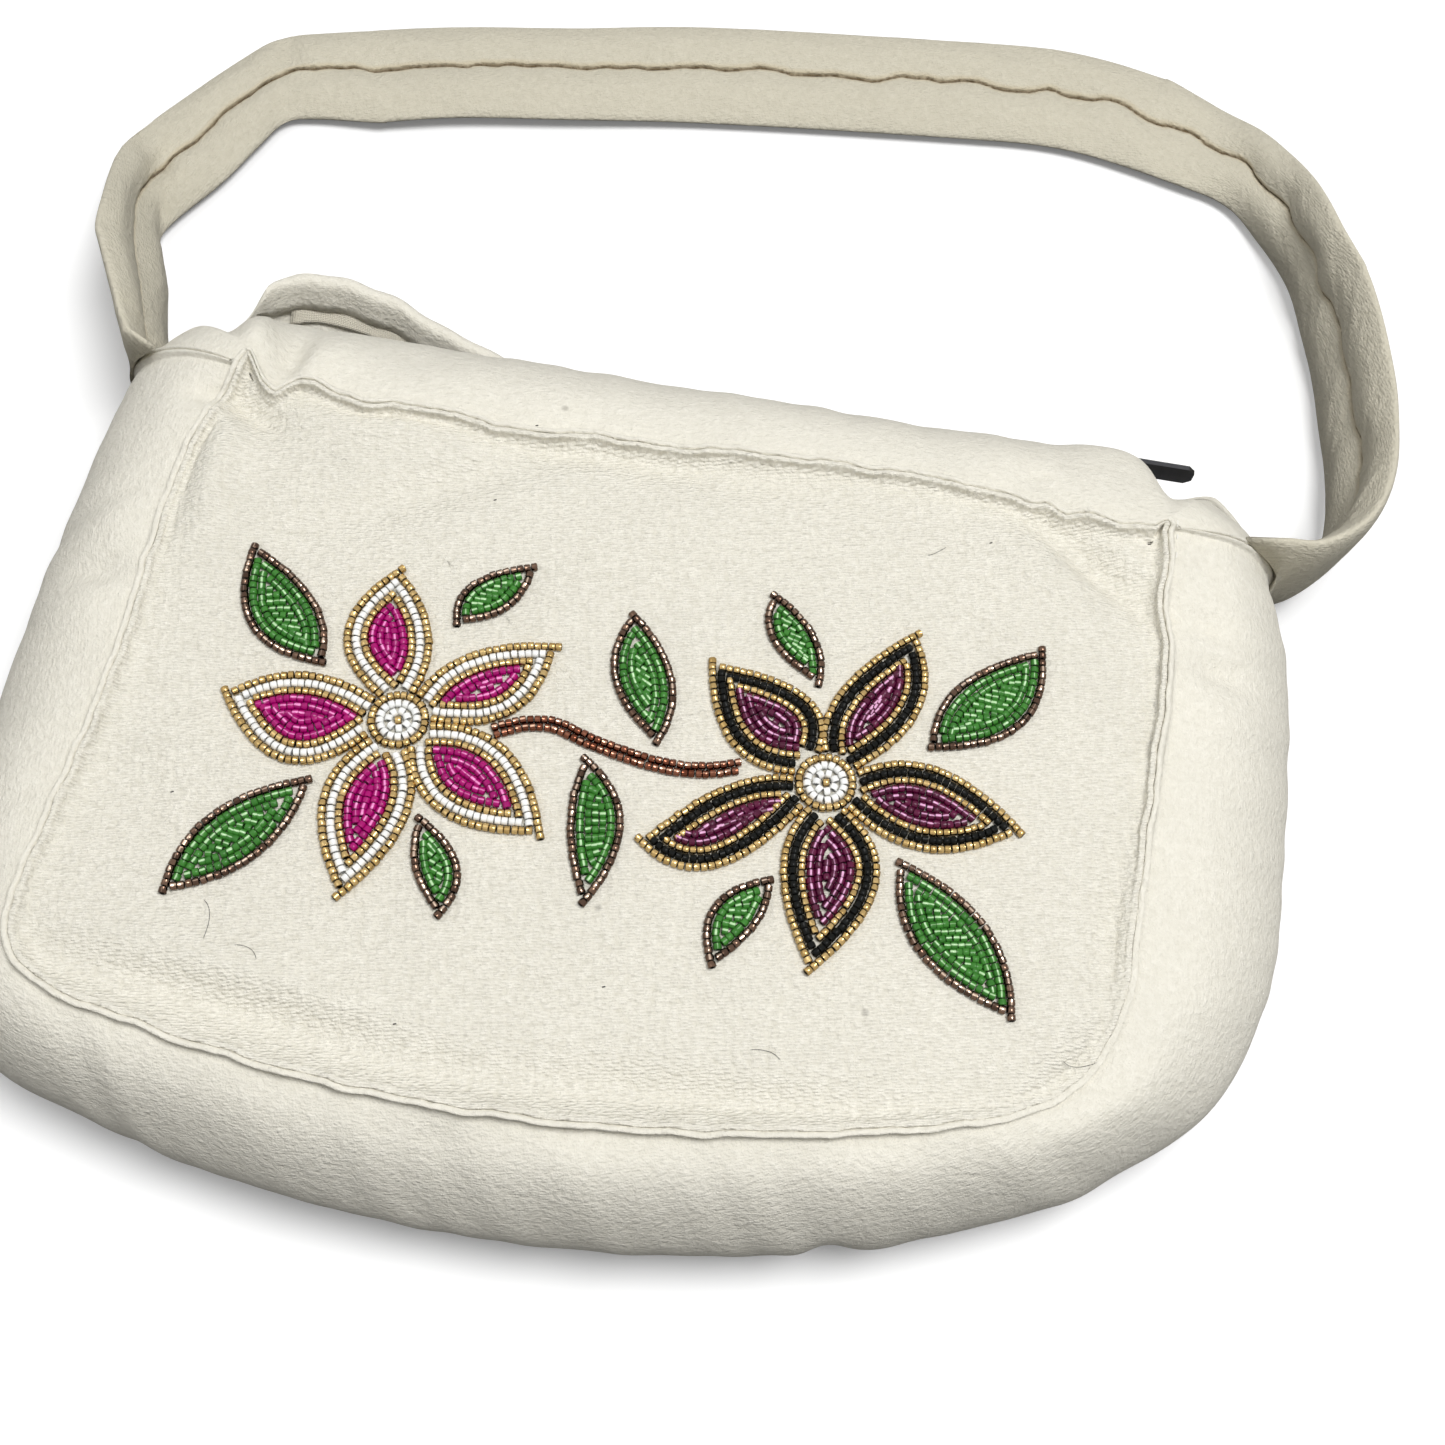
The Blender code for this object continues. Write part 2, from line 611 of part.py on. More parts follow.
def strap_end(seam, angle, outward):
    """The end section's points, which follow the wall at a corner seam."""
    corner = seam.at_angle(angle)
    point, normal, _ = (value[0] for value in seam.place([corner]))
    along = left_of(normal[None])[0]
    shape = strap_shape() * (1, outward)
    heights = STRAP_END_HEIGHT + shape[:, 0]
    out, aside = [], []
    for near, facing, reach in zip(*seam.place(corner + np.linspace(-STRAP_THICK, STRAP_THICK, 9))):
        wall = near + outside_at(heights, reach)[:, None] * facing - point
        out.append(wall @ normal)
        aside.append(wall @ along)
    out, aside = np.array(out), np.array(aside)
    start = [np.interp(through, *curve) for through, curve in zip(shape[:, 1], strap_columns(aside, out))]
    plan = point + np.array(start)[:, None] * normal + shape[:, 1:] * along
    return np.column_stack([plan, heights])


def strap_columns(aside, out):
    """Each height's wall line in plan, sorted along the seam for reading off."""
    for column in range(aside.shape[1]):
        order = np.argsort(aside[:, column])
        yield aside[order, column], out[order, column]


def strap_shape():
    """The strap's section, a flat tube with round sides: (across, through) points round both faces."""
    across = -np.cos(np.linspace(0.12, math.pi - 0.12, 9))
    across /= across[-1]
    through = 0.35 + 0.65 * (1 - np.abs(across) ** 6)
    face = np.column_stack([across * STRAP_WIDTH / 2, through * STRAP_THICK / 2])
    return np.vstack([face, (face * (1, -1))[::-1]])


def strap_route(left, right):
    """The strap's middle line in fine steps, with the share by which it stands on edge."""
    route = []
    for end, places in ((left, STRAP_FROM_LEFT), (right, STRAP_FROM_RIGHT)):
        for along, up, lift, edge in places:
            stand = math.pi / 2 * edge
            half_height = STRAP_WIDTH / 2 * abs(math.sin(stand)) + STRAP_THICK / 2 * abs(math.cos(stand))
            route.append((end[0] + along, end[1] + up, lift + half_height, edge))
    return smooth_through([(*left, 1.0), *route, (*right, 1.0)], STRAP_STEP)


def build_strap(seam, cloth):
    """The strap, which stands on edge where it is sewn in and lies flat on the floor beyond the mouth."""
    left = strap_end(seam, LEFT_END_ANGLE - 2 * math.pi, 1)
    right = strap_end(seam, RIGHT_END_ANGLE, -1)
    path = strap_route(left.mean(axis=0), right.mean(axis=0))
    along = directions(path[:, :2])
    shape = strap_shape()
    sections = [left]
    for middle, way in list(zip(path, along))[1:-1]:
        edge = math.pi / 2 * middle[3]
        flat = left_of(way[None])[0]
        across = np.array([*(flat * math.cos(edge)), math.sin(edge)])
        through = np.cross(across, [*way, 0.0])
        sections.append(middle[:3] + shape[:, :1] * across + shape[:, 1:] * through)
    sections.append(right)
    add_object("strap", loft("strap", sections, ladder=True), cloth)


def lens(left, right, inset, keep_out=0.0, neck=0.0, least=0.05):
    """Both sides of a petal or leaf moved inward and cut where they meet, or inside a circle."""
    ribs = left - right
    across = ribs / np.maximum(np.linalg.norm(ribs, axis=1, keepdims=True), 1e-6)
    moved_left = left - left_of(directions(left)) * inset
    moved_right = right + left_of(directions(right)) * inset
    width = np.einsum("ij,ij->i", moved_left - moved_right, across)
    middle = (moved_left + moved_right) / 2
    in_neck = (width < neck) & (np.arange(len(width)) < len(width) / 2)
    moved_left[in_neck] = middle[in_neck] + across[in_neck] * neck / 2
    moved_right[in_neck] = middle[in_neck] - across[in_neck] * neck / 2
    open_here = (width > least) | in_neck
    outside = np.minimum(np.linalg.norm(moved_left, axis=1), np.linalg.norm(moved_right, axis=1)) >= keep_out
    shut = np.flatnonzero(~(open_here & outside))
    widest = int(np.argmax(width * outside))
    first = shut[shut < widest].max(initial=-1) + 1
    end = shut[shut > widest].min(initial=len(width))
    return resampled(moved_left[first:end]), resampled(moved_right[first:end])


def resampled(line):
    """The line as equal steps along its length."""
    length = np.concatenate([[0.0], np.cumsum(np.linalg.norm(np.diff(line, axis=0), axis=1))])
    wanted = np.linspace(0, length[-1], SIDE_STEPS + 1)
    return np.column_stack([np.interp(wanted, length, line[:, k]) for k in (0, 1)])


def closed_outline(left, right):
    """One outline from both sides, with a single point where they meet."""
    points = [*left, *right[::-1]]
    kept = [points[0]]
    for point in points[1:]:
        if np.linalg.norm(point - kept[-1]) > 0.1:
            kept.append(point)
    if np.linalg.norm(kept[0] - kept[-1]) <= 0.1:
        kept.pop()
    return np.array(kept)


BEAD_BOTTOM = BAG_DEPTH + GAP
BEAD_TOP = BEAD_BOTTOM + BEAD_HEIGHT


def bead_plate(name, outline, centre, look):
    return add_object(name, plate(name, outline + np.array(centre), BEAD_BOTTOM, BEAD_TOP), look)


def circle(radius, count):
    angles = np.linspace(0, 2 * math.pi, count, endpoint=False)
    return np.column_stack([np.cos(angles), np.sin(angles)]) * radius


def petal_sides(petals, k):
    """Both outer sides of one petal, from the ring to its tip, in fine steps."""
    tip, left, right = petals[k]
    tips = [petals[j % len(petals)][0] for j in (k - 1, k, k + 1)]
    angle = [math.atan2(y, x) for x, y in tips]
    to_left = angle[1] + (angle[0] - angle[1]) % (2 * math.pi) / 2
    to_right = angle[1] - (angle[1] - angle[2]) % (2 * math.pi) / 2
    base = [(RING_RADIUS * math.cos(turn), RING_RADIUS * math.sin(turn)) for turn in (to_left, to_right)]
    return quadratic(base[0], left, tip, 80), quadratic(base[1], right, tip, 80)


def band_outline(sides, inset, spread, base):
    """The horseshoe between two insets, open at the flower's ring."""
    outer = lens(*sides, inset - spread, base)
    inner = lens(*sides, inset + BEAD_ROW + spread, base, NECK + BEAD_GAP - 2 * spread)
    return np.vstack([outer[0], outer[1][::-1], inner[1], inner[0][::-1]])


def build_flower(name, flower, gold):
    """A flower: one net of gold rows, and in its openings the bands, the petals' fields and the centre."""
    centre = np.array(flower["centre"])
    band_look = material(*flower["band"], 0.35)
    fill_look = material(*flower["fill"], 0.25)
    petals = list(flower["petals"].values())
    net = bead_plate(name + "_outline", circle(RING_RADIUS + BEAD_GAP, 20), centre, gold)
    cutters = []
    for k, petal in enumerate(flower["petals"]):
        sides = petal_sides(petals, k)
        piece = name + "_" + petal
        whole = lens(*sides, 0.0)
        inner_ring = [whole[0][0] * 0.8, *whole[0], *whole[1][::-1][1:], whole[1][0] * 0.8]
        combine(net, bead_plate(piece + "_whole", np.array(inner_ring), centre, gold), "UNION")
        band = band_outline(sides, BEAD_ROW, -BEAD_GAP / 2, RING_RADIUS + BEAD_GAP)
        bead_plate(piece + "_band", band, centre, band_look)
        inset = 3 * BEAD_ROW + BEAD_GAP
        fill = closed_outline(*lens(*sides, inset, RING_RADIUS + BEAD_GAP, least=2 * BEAD_GAP))
        bead_plate(piece + "_field", fill, centre, fill_look)
        band_hole = band_outline(sides, BEAD_ROW, BEAD_GAP / 2, RING_RADIUS)
        fill_hole = closed_outline(*lens(*sides, 3 * BEAD_ROW - BEAD_GAP / 2, RING_RADIUS))
        cutters += [(piece + "_band_hole", band_hole), (piece + "_field_hole", fill_hole)]
    cutters.append((name + "_centre_hole", circle(RING_RADIUS - BEAD_ROW, 20)))
    for cutter, outline in cutters:
        mesh = plate(cutter, outline + centre, BEAD_BOTTOM - 1.0, BEAD_TOP + 1.0)
        combine(net, add_object(cutter, mesh, gold), "DIFFERENCE")
    white = material("white_bead", WHITE, 0.35)
    bead_plate(name + "_centre", circle(RING_RADIUS - BEAD_ROW - BEAD_GAP, 20), centre, white)


def build_leaf(name, leaf, bronze, green):
    """A leaf: one closed row of dark beads round a green field."""
    first, last, left, right = leaf
    sides = quadratic(first, left, last, 80), quadratic(first, right, last, 80)
    outer, inner = lens(*sides, 0.0), lens(*sides, BEAD_ROW)
    loops = [np.vstack([pair[0], pair[1][-2:0:-1]]) for pair in (outer, inner)]
    sections = []
    for outside, inside in zip(*loops):
        corners = [(*outside, BEAD_BOTTOM), (*outside, BEAD_TOP)]
        corners += [(*inside, BEAD_TOP), (*inside, BEAD_BOTTOM)]
        sections.append(np.array(corners))
    add_object(name + "_outline", loft(name, sections, closed=True), bronze)
    field = closed_outline(*lens(*sides, BEAD_ROW + BEAD_GAP, least=2 * BEAD_GAP))
    bead_plate(name + "_field", field, (0.0, 0.0), green)


def build_stem(look):
    """The stem: a double row of red-brown beads between the two flowers."""
    middle = smooth_through(STEM, 4.0)
    side = left_of(directions(middle)) * BEAD_ROW
    bead_plate("stem", np.vstack([middle + side, (middle - side)[::-1]]), (0.0, 0.0), look)


def build_beadwork():
    gold = material("gold_bead", GOLD, 0.3, 0.9)
    bronze = material("bronze_bead", BRONZE, 0.3, 0.8)
    green = material("green_bead", GREEN, 0.25)
    for name, flower in FLOWERS.items():
        build_flower(name, flower, gold)
    for name, leaf in LEAVES.items():
        build_leaf("leaf_" + name, leaf, bronze, green)
    build_stem(material("red_brown_bead", REDBROWN, 0.3, 0.8))


def main():
    clear_scene()
    seam = Seam()
    cloth = material("cream_wool", CREAM, 0.95)
    build_panels(seam, cloth)
    build_walls(seam, cloth)
    build_strap(seam, cloth)
    metal = material("gunmetal", GUNMETAL, 0.35, 1.0)
    build_zip(material("zip_tape", CREAM, 0.8), material("zip_coil", CREAM, 0.5), metal)
    build_beadwork()


main()
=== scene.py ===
import math

import bpy
import numpy as np
from bpy.props import FloatProperty, FloatVectorProperty, IntProperty, PointerProperty
from mathutils import Matrix, Vector


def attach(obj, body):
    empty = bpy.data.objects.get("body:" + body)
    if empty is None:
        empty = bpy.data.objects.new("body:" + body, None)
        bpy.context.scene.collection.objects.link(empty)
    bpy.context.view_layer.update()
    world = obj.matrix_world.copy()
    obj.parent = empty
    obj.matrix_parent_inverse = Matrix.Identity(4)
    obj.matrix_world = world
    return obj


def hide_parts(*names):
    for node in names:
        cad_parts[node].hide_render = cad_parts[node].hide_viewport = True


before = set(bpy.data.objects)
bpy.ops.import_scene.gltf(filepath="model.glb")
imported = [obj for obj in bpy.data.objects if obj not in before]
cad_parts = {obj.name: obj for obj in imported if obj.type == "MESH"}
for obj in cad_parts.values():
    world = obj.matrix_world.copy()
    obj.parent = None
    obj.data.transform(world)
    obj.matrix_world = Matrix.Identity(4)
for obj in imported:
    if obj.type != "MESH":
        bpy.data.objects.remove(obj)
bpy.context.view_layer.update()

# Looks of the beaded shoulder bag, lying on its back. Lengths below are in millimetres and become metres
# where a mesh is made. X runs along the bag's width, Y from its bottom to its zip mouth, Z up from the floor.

bl_info = {
    "name": "Beaded shoulder bag",
    "version": (1, 0, 0),
    "blender": (4, 5, 0),
    "location": "3D View > Sidebar > Bag",
    "description": "Makes the cloth, the beads and the zip of a beaded shoulder bag",
    "category": "Add Mesh",
}

MM = 0.001

# Sizes of the bag's solids, as in its CAD source
CLOTH = 1.2
GAP = 0.3
SEWN_GAP = 0.5
PANEL_WIDTH = 201.0
PANEL_SIDE = 130.0
BOTTOM_SAG = 15.0
LEFT_CORNER_OUT = 5.0
LEFT_CORNER_DOWN = 3.0
RIGHT_CORNER_IN = 1.0
RIGHT_CORNER_UP = 5.0
TOP_ROUND = 5.0
LEFT_ROUND = 13.0
RIGHT_ROUND = 27.0
BAG_DEPTH = 45.0
SEAM_RIDGE = 2.4
BACK_ALLOWANCE = 3.0
RIGHT_BULGE = 33.0
LEFT_BULGE = 24.0
BOTTOM_BULGE = 18.5
TOP_BULGE = 21.5
CORNER_DIP = 16.0
BULGE_BLEND = 20.0
SAG_POWER = 0.75
RIGHT_END_ANGLE = math.radians(8.0)
LEFT_END_ANGLE = math.radians(160.0)
ZIP_HEIGHT = 20.0
COIL = 1.8
COIL_SPACE = 1.8
TAPE = 0.6
TAPE_WIDTH = 9.0
TAPE_SHOWN = 3.0
TAPE_TO_COIL = 0.8
ZIP_CLOSING = 10.0
GAPE = 15.0
GAPE_RISE = 4.0
GAPE_LEFT = 19.0
GAPE_PEAK = 12.0
GAPE_RIGHT = 70.0
STOP_LENGTH = 2.2
STRAP_WIDTH = 30.0
STRAP_THICK = 4.4
STRAP_END_HEIGHT = 24.0
BEAD_ROW = 1.65
RING_RADIUS = 6.0

# Random waves: seed, shortest and longest wavelength. The frayed edges take their seed from the cloth.
RIDGE_WANDER = (3, 9.0, 26.0)
RIDGE_RIPPLE = (4, 4.0, 9.0)
RIDGE_TALL = (5, 4.0, 16.0)
RIDGE_FRAY = (2.2, 5.0)
RIDGE_FRAY_SLOW = (4.0, 9.0)
BACK_EDGE_WAVE = (9, 5.0, 18.0)
WALL_SLOW = (21, 18.0, 60.0)
WALL_QUICK = (22, 8.0, 25.0)
MOUTH_WAVE = (23, 9.0, 30.0)
STRAP_SEAM_SLOW = (31, 16.0, 60.0)
STRAP_SEAM_QUICK = (32, 5.0, 13.0)
STRAP_SOFT = (33, 14.0, 45.0)
STRAP_FINE = (34, 4.0, 11.0)

# How far single beads stray: aside, turned, stretched, tilted and up. Then how deep they sit in the cloth,
# and the angle from which their edges are sharp.
BEAD_ASIDE = 0.045
BEAD_TURN = 0.05
BEAD_STRETCH = 0.025
BEAD_TILT = 0.04
BEAD_UP = 0.04
BEAD_SUNK = 0.06
BEAD_SHARP = math.radians(50.0)

# Steps along the seam, and for the walls also from edge to edge
SIDE_STEPS = 400
CORNER_STEPS = 60
PANEL_STEPS = 560
BACK_STEPS = 300
GUSSET_STEPS = (520, 48)
FRONT_STRIP_STEPS = (300, 30)
BACK_STRIP_STEPS = (300, 26)
PETAL_STEPS = 120
TAPE_STEPS = 14
STRAP_SPACING = 1.9

# The ridge: its plies, the small round at its foot, how deep it sinks the panel, how its tables are smoothed
PLIES_APART = 0.03
TOP_RADIUS = 1.5
SEAM_DIVE = 0.5
SHIFT_BLUR = 0.9
STAND_BLUR = 6.0

# The rings inside the panel's rim: their middle, and over how many steps the rim is evened for them
PANEL_MIDDLE = (0.0, -6.0, 0.0)
EVEN_STEPS = 14
EVEN_BLUR = 5.0

# The back strip's edge folded over the coil, from X to X with a blend at both ends
FOLD_RISE = 3.9
FOLD_RADIUS = 1.35
FOLD_LEG = 6.0
FOLD_START = -103.0
FOLD_END = -22.0
FOLD_START_BLEND = 4.0
FOLD_END_BLEND = 22.0

# Corner seams, the strap's ends, the coils' wire, and how close a bead row may come to the one it meets
CORNER_FIN = 1.3
FIN_BLEND = 0.7
STRAP_BLEND = 14.0
COIL_WIRE = 0.32
COIL_PITCH = 1.35
ROWS_CLEAR = BEAD_ROW * 0.55

RIDGE_MIDDLE = GAP / 2 + CLOTH / 2
FRONT_START = BAG_DEPTH - CLOTH / 2
BACK_END = CLOTH + GAP + CLOTH / 2
ZIP_HALF = PANEL_WIDTH / 2 - TOP_ROUND
WHOLE_TURN = 2 * math.pi

# Finishes: bumps in metres, the weave's slant and its floats per 100 mm, the painted shade in the weave's
# pits, the colour of dark specks, and the painted shade along the strap's seam groove and beside it
BUMP_STRENGTH = 0.8
WOOL_BUMP = 0.0004
TAPE_BUMP = 0.0002
WEAVE_SLANT = math.radians(-11.0)
WEAVE_FLOATS = (64.0, 175.0, 1.0)
# Painted shade in the weave's pits: the share of each colour value that they lose
PIT_SHADE_LOSS = (0.30, 0.31, 0.35)
SPECK_COLOUR = (0.10, 0.085, 0.07)
# Painted shade of the strap's seam: the warm shading beside its groove, then the dark line in it
SEAM_SIDE_SHADE = (0.55, 0.43, 0.24)
SEAM_GROOVE_SHADE = (0.10, 0.06, 0.02)

# Stage: the lights' places and sizes in metres and their share of the power, the sky and the floor
LIGHTS = (("soft_key", (0.26, 0.0, 1.1), 0.5, 1.0), ("soft_fill", (-0.60, 0.05, 0.80), 0.8, 0.12))
LIT_PLACE = Vector((0.0, 0.0, 0.02))
AIM = Vector((16.5, 0.5, BAG_DEPTH)) * MM
SENSOR = 36.0
SKY_FROM_TO = (0.02, 0.30)
SKY_SIDES = 0.40
FLOOR_REACH = 3000.0
FLOOR_LEVEL = -0.4
FLOOR_SEEN = (0.94, 0.94, 0.94)
FLOOR_LIGHTING = (0.07, 0.07, 0.07)
FLOOR_GLOW = 0.12

# Flower centres, and for each petal its tip and the middles of its left and right side as seen from the
# centre, all measured from the centre. Petals are listed clockwise.
FLOWERS = {
    "left_flower": {
        "centre": (-44.6, -10.2),
        "band": "white_bead",
        "fill": "magenta_bead",
        "petals": {
            "top": ((-7.0, 32.1), (-14.4, 16.5), (2.4, 19.5)),
            "upper_right": ((26.8, 21.1), (10.5, 16.3), (21.8, 5.3)),
            "lower_right": ((31.7, -18.3), (21.7, -2.2), (11.9, -17.6)),
            "lower": ((-2.8, -36.6), (6.2, -19.4), (-11.0, -18.8)),
            "left": ((-34.3, -0.1), (-19.5, -12.2), (-20.6, 6.8)),
        },
    },
    "right_flower": {
        "centre": (37.8, -8.9),
        "band": "black_bead",
        "fill": "plum_bead",
        "petals": {
            "upper_left": ((-25.9, 21.0), (-19.4, 4.8), (-6.0, 17.6)),
            "upper_right": ((13.5, 35.2), (0.0, 19.6), (16.7, 18.6)),
            "right": ((38.4, -3.1), (20.9, 7.0), (21.0, -10.6)),
            "lower": ((2.1, -37.8), (12.6, -18.4), (-6.2, -19.6)),
            "left": ((-33.4, -18.1), (-18.4, -20.8), (-19.6, -4.2)),
        },
    },
}
# Leaves: both tips, then the middles of the left and right side as seen from the first tip
LEAVES = {
    "upper_left": ((-61.2, -1.6), (-81.1, 22.3), (-77.4, 4.4), (-65.4, 11.6)),
    "upper_middle": ((-38.6, 11.8), (-25.0, 27.6), (-37.0, 21.2), (-28.2, 16.8)),
    "lower_left": ((-80.1, -51.0), (-58.0, -23.9), (-75.0, -34.6), (-64.0, -41.4)),
    "lower_middle": ((-28.6, -47.5), (-36.6, -28.2), (-36.0, -38.4), (-27.0, -37.0)),
    "stem_upper": ((5.4, -6.9), (-4.2, 20.5), (-6.2, 5.6), (6.1, 7.4)),
    "stem_lower": ((-3.4, -41.5), (-8.2, -11.2), (-9.2, -25.6), (1.4, -23.8)),
    "top_right": ((34.6, 11.2), (22.5, 29.9), (23.0, 19.0), (32.2, 21.6)),
    "far_right": ((56.7, 1.1), (77.2, 26.7), (60.6, 15.8), (74.4, 9.4)),
    "lower_right": ((78.1, -48.7), (53.4, -21.6), (58.6, -39.4), (71.2, -31.6)),
    "lower_centre": ((21.2, -48.7), (30.4, -29.0), (20.0, -36.6), (29.2, -39.0)),
}
# The leaves whose right side runs on past both tips. On the others the left side does.
RIGHT_SIDE_LEADS = ("lower_middle", "stem_upper", "stem_lower", "top_right", "far_right", "lower_right")
STEM = ((-26.5, -9.6), (-23.2, -7.9), (-19.6, -6.6), (-14.6, -6.3), (-6.9, -8.6), (3.2, -10.6), (11.5, -10.8),
        (17.6, -9.6), (21.6, -8.2))

# The strap's middle line from its left and its right end: place, height of its lowest edge, and how far
# its outer edge is raised, from 0 flat to 1 upright
STRAP_FROM_LEFT = (
    (-4.3, 12.0, 7.0, 0.90), (-9.5, 28.3, 3.0, 0.85), (-15.1, 45.0, 0.9, 0.92), (-15.9, 57.4, 1.0, 0.86),
    (-17.0, 67.3, 1.2, 0.58), (-14.8, 77.3, 1.3, 0.26), (-5.9, 88.1, 0.9, 0.05), (6.0, 101.7, 0.5, 0.0),
    (38.0, 112.4, 0.4, -0.03), (72.9, 119.5, 0.4, -0.02), (107.5, 126.1, 0.4, 0.02),
)
STRAP_FROM_RIGHT = (
    (-82.0, 138.0, 0.4, 0.03), (-51.1, 140.5, 0.4, 0.04), (-26.1, 136.8, 0.7, 0.03), (-5.4, 130.0, 1.1, 0.08),
    (3.4, 121.8, 1.3, 0.38), (4.9, 111.5, 1.1, 0.70), (9.8, 99.2, 0.9, 0.92), (18.4, 74.7, 0.5, 0.90),
    (22.0, 55.6, 0.8, 0.87), (23.3, 41.8, 1.8, 0.88), (22.6, 25.7, 3.6, 0.90), (17.8, 12.0, 6.0, 0.93),
    (8.6, 2.5, 8.0, 0.97),
)
# The strap's two kinks beside its left end: its inner edge, then its outer edge
STRAP_KINKS = (
    (-127.7, 98.6, 4.5, -135.6, 96.0, 33.0),
    (-129.8, 105.2, 3.0, -138.6, 101.8, 31.0),
    (-133.0, 112.6, 2.6, -141.0, 111.8, 27.0),
    (-135.3, 118.0, 2.4, -145.3, 126.5, 18.0),
    (-135.1, 121.6, 2.4, -148.2, 139.4, 10.0),
    (-132.5, 127.3, 2.4, -146.0, 151.7, 4.5),
    (-124.9, 139.7, 2.4, -138.4, 165.0, 2.8),
    (-119.2, 151.6, 2.6, -129.1, 177.8, 2.6),
    (-114.6, 160.1, 2.6, -121.4, 186.0, 2.6),
    (-107.1, 162.6, 2.6, -114.3, 188.5, 2.6),
)
# The same where it turns towards its right end
STRAP_TURN = (
    (109.1, 184.2, 3.0, 117.4, 210.1, 3.6),
    (116.7, 182.3, 2.6, 126.4, 200.6, 9.0),
    (122.7, 178.6, 2.4, 131.9, 189.5, 15.0),
    (128.4, 171.9, 2.0, 135.2, 177.5, 22.0),
    (133.8, 165.0, 1.6, 137.4, 166.9, 27.0),
    (138.0, 156.9, 1.3, 140.5, 156.6, 29.5),
)
# Where the two begin and end, by length from the strap's left end
KINKS_START = 14.0
KINKS_END = 134.0
TURN_START = 336.0
TURN_END = 414.0

# Where the sewn ridge lies beside the CAD's seam line: place on the seam line, and the shift from it
RIDGE_SHIFTS = (
    (-100.9, 55.6, 5.3, 0.0), (-100.7, 60.8, 6.5, 0.0), (-99.2, 63.8, 6.2, 1.0),
    (-95.5, 65.0, 3.4, -0.1), (-90.5, 65.0, 2.4, -6.0), (-85.8, 65.0, 1.0, -8.3), (-80.7, 65.0, 0.0, -3.9),
    (-77.4, 65.0, 0.0, -4.0), (-72.3, 65.0, 0.0, -6.2), (-65.5, 65.0, 0.0, -7.6), (-60.8, 65.0, 0.0, -6.2),
    (-54.0, 65.0, 0.0, -6.1), (-47.2, 65.0, 0.0, -5.6), (-39.4, 65.0, 0.0, -7.5), (-32.7, 65.0, 0.0, -6.7),
    (-26.1, 65.0, 0.0, -6.2), (-17.6, 65.0, 0.0, -5.3), (-8.8, 65.0, 0.0, -5.6), (0.0, 65.0, 0.0, -5.9),
    (6.8, 65.0, 0.0, -4.4), (17.2, 65.0, 0.0, -4.4), (29.4, 65.0, 0.0, -3.5), (40.0, 65.0, 0.0, -3.5),
    (52.2, 65.0, 0.0, -3.4), (61.0, 65.0, 0.0, -4.3), (67.0, 65.0, 0.0, -4.0), (71.5, 65.0, 0.0, -5.7),
    (75.0, 65.0, 0.0, -4.9), (78.7, 65.0, 0.0, -6.8), (83.0, 65.0, 0.0, -6.0), (90.1, 65.0, 0.0, -7.1),
    (95.5, 65.0, 1.6, -7.0), (99.2, 63.8, 0.6, -3.6), (100.4, 58.0, -0.3, 0.0), (100.4, 51.0, 0.0, 0.0),
    (100.3, 39.0, 0.2, 0.0), (100.2, 33.0, 1.9, 0.0), (100.1, 19.7, 2.0, 0.0), (100.0, 4.5, 1.0, 0.0),
    (99.9, -6.5, 0.4, 0.0), (99.8, -21.7, -0.6, 0.0), (97.5, -44.0, -1.0, 0.2), (88.0, -62.0, 0.0, 0.5),
    (40.0, -76.0, 0.0, 0.0), (-40.0, -78.0, 0.0, -0.6), (-104.0, -66.0, 0.0, 0.0), (-104.8, -49.2, 0.7, 0.0),
    (-104.3, -35.1, 1.6, 0.0), (-103.6, -16.2, 3.1, 0.0), (-102.9, 1.2, 3.3, 0.0), (-102.0, 25.7, 1.7, 0.0),
    (-101.4, 42.3, 2.3, 0.0), (-101.1, 49.5, 4.2, 0.0),
)
# How high the ridge stands, as a share of its full height, and how far it leans outward, at places on it
RIDGE_STAND = (
    (0.0, 65.0, 1.0, -0.2), (98.0, 64.5, 1.1, 0.0), (100.3, 48.0, 1.0, 0.0), (100.2, 31.0, 1.0, -0.5),
    (100.0, 5.0, 0.8, -0.4), (99.8, -25.0, 0.35, 0.2), (95.0, -52.0, 0.2, 0.3), (80.0, -66.0, 0.25, 0.5),
    (66.0, -71.5, 0.8, 0.9), (30.0, -77.5, 0.9, 1.0), (-20.0, -78.8, 1.0, 1.2), (-60.0, -76.8, 0.8, 0.9),
    (-100.0, -70.5, 0.7, 0.6), (-105.0, -55.0, 0.8, 0.5), (-103.5, -20.0, 0.9, 0.4), (-102.5, 10.0, 0.7, 0.2),
    (-101.8, 32.0, 0.25, 0.0), (-101.2, 48.0, 0.6, 0.2), (-99.0, 64.0, 1.0, 0.1), (-80.0, 65.0, 1.1, -0.3),
)
# The front panel's edge, from its face over the ridge to its underside: out from the seam line, height
PANEL_EDGE = (
    (-3.2, 45.0), (-2.8, 45.0), (-2.4, 45.03), (-2.0, 45.2), (-1.6, 45.6), (-1.38, 46.1), (-1.28, 46.6),
    (-1.24, 47.0), (-1.12, 47.26), (-0.85, 47.4), (-0.5, 47.38), (-0.2, 47.25), (-0.06, 47.0), (-0.03, 46.2),
    (-0.03, 45.3), (-0.1, 44.6), (-0.35, 44.1), (-0.8, 43.85), (-1.6, 43.8), (-2.4, 43.8), (-3.2, 43.8),
)
# The back panel's edge, from its underside up: the first and last out from the seam line, the others from
# the edge, then height
BACK_EDGE = (
    (-4.0, 0.0), (0.0, 0.0), (-0.25, 0.0), (-0.06, 0.18), (0.0, 0.6), (-0.06, 1.02), (-0.25, 1.2),
    (-1.5, 1.2), (-4.0, 1.2),
)
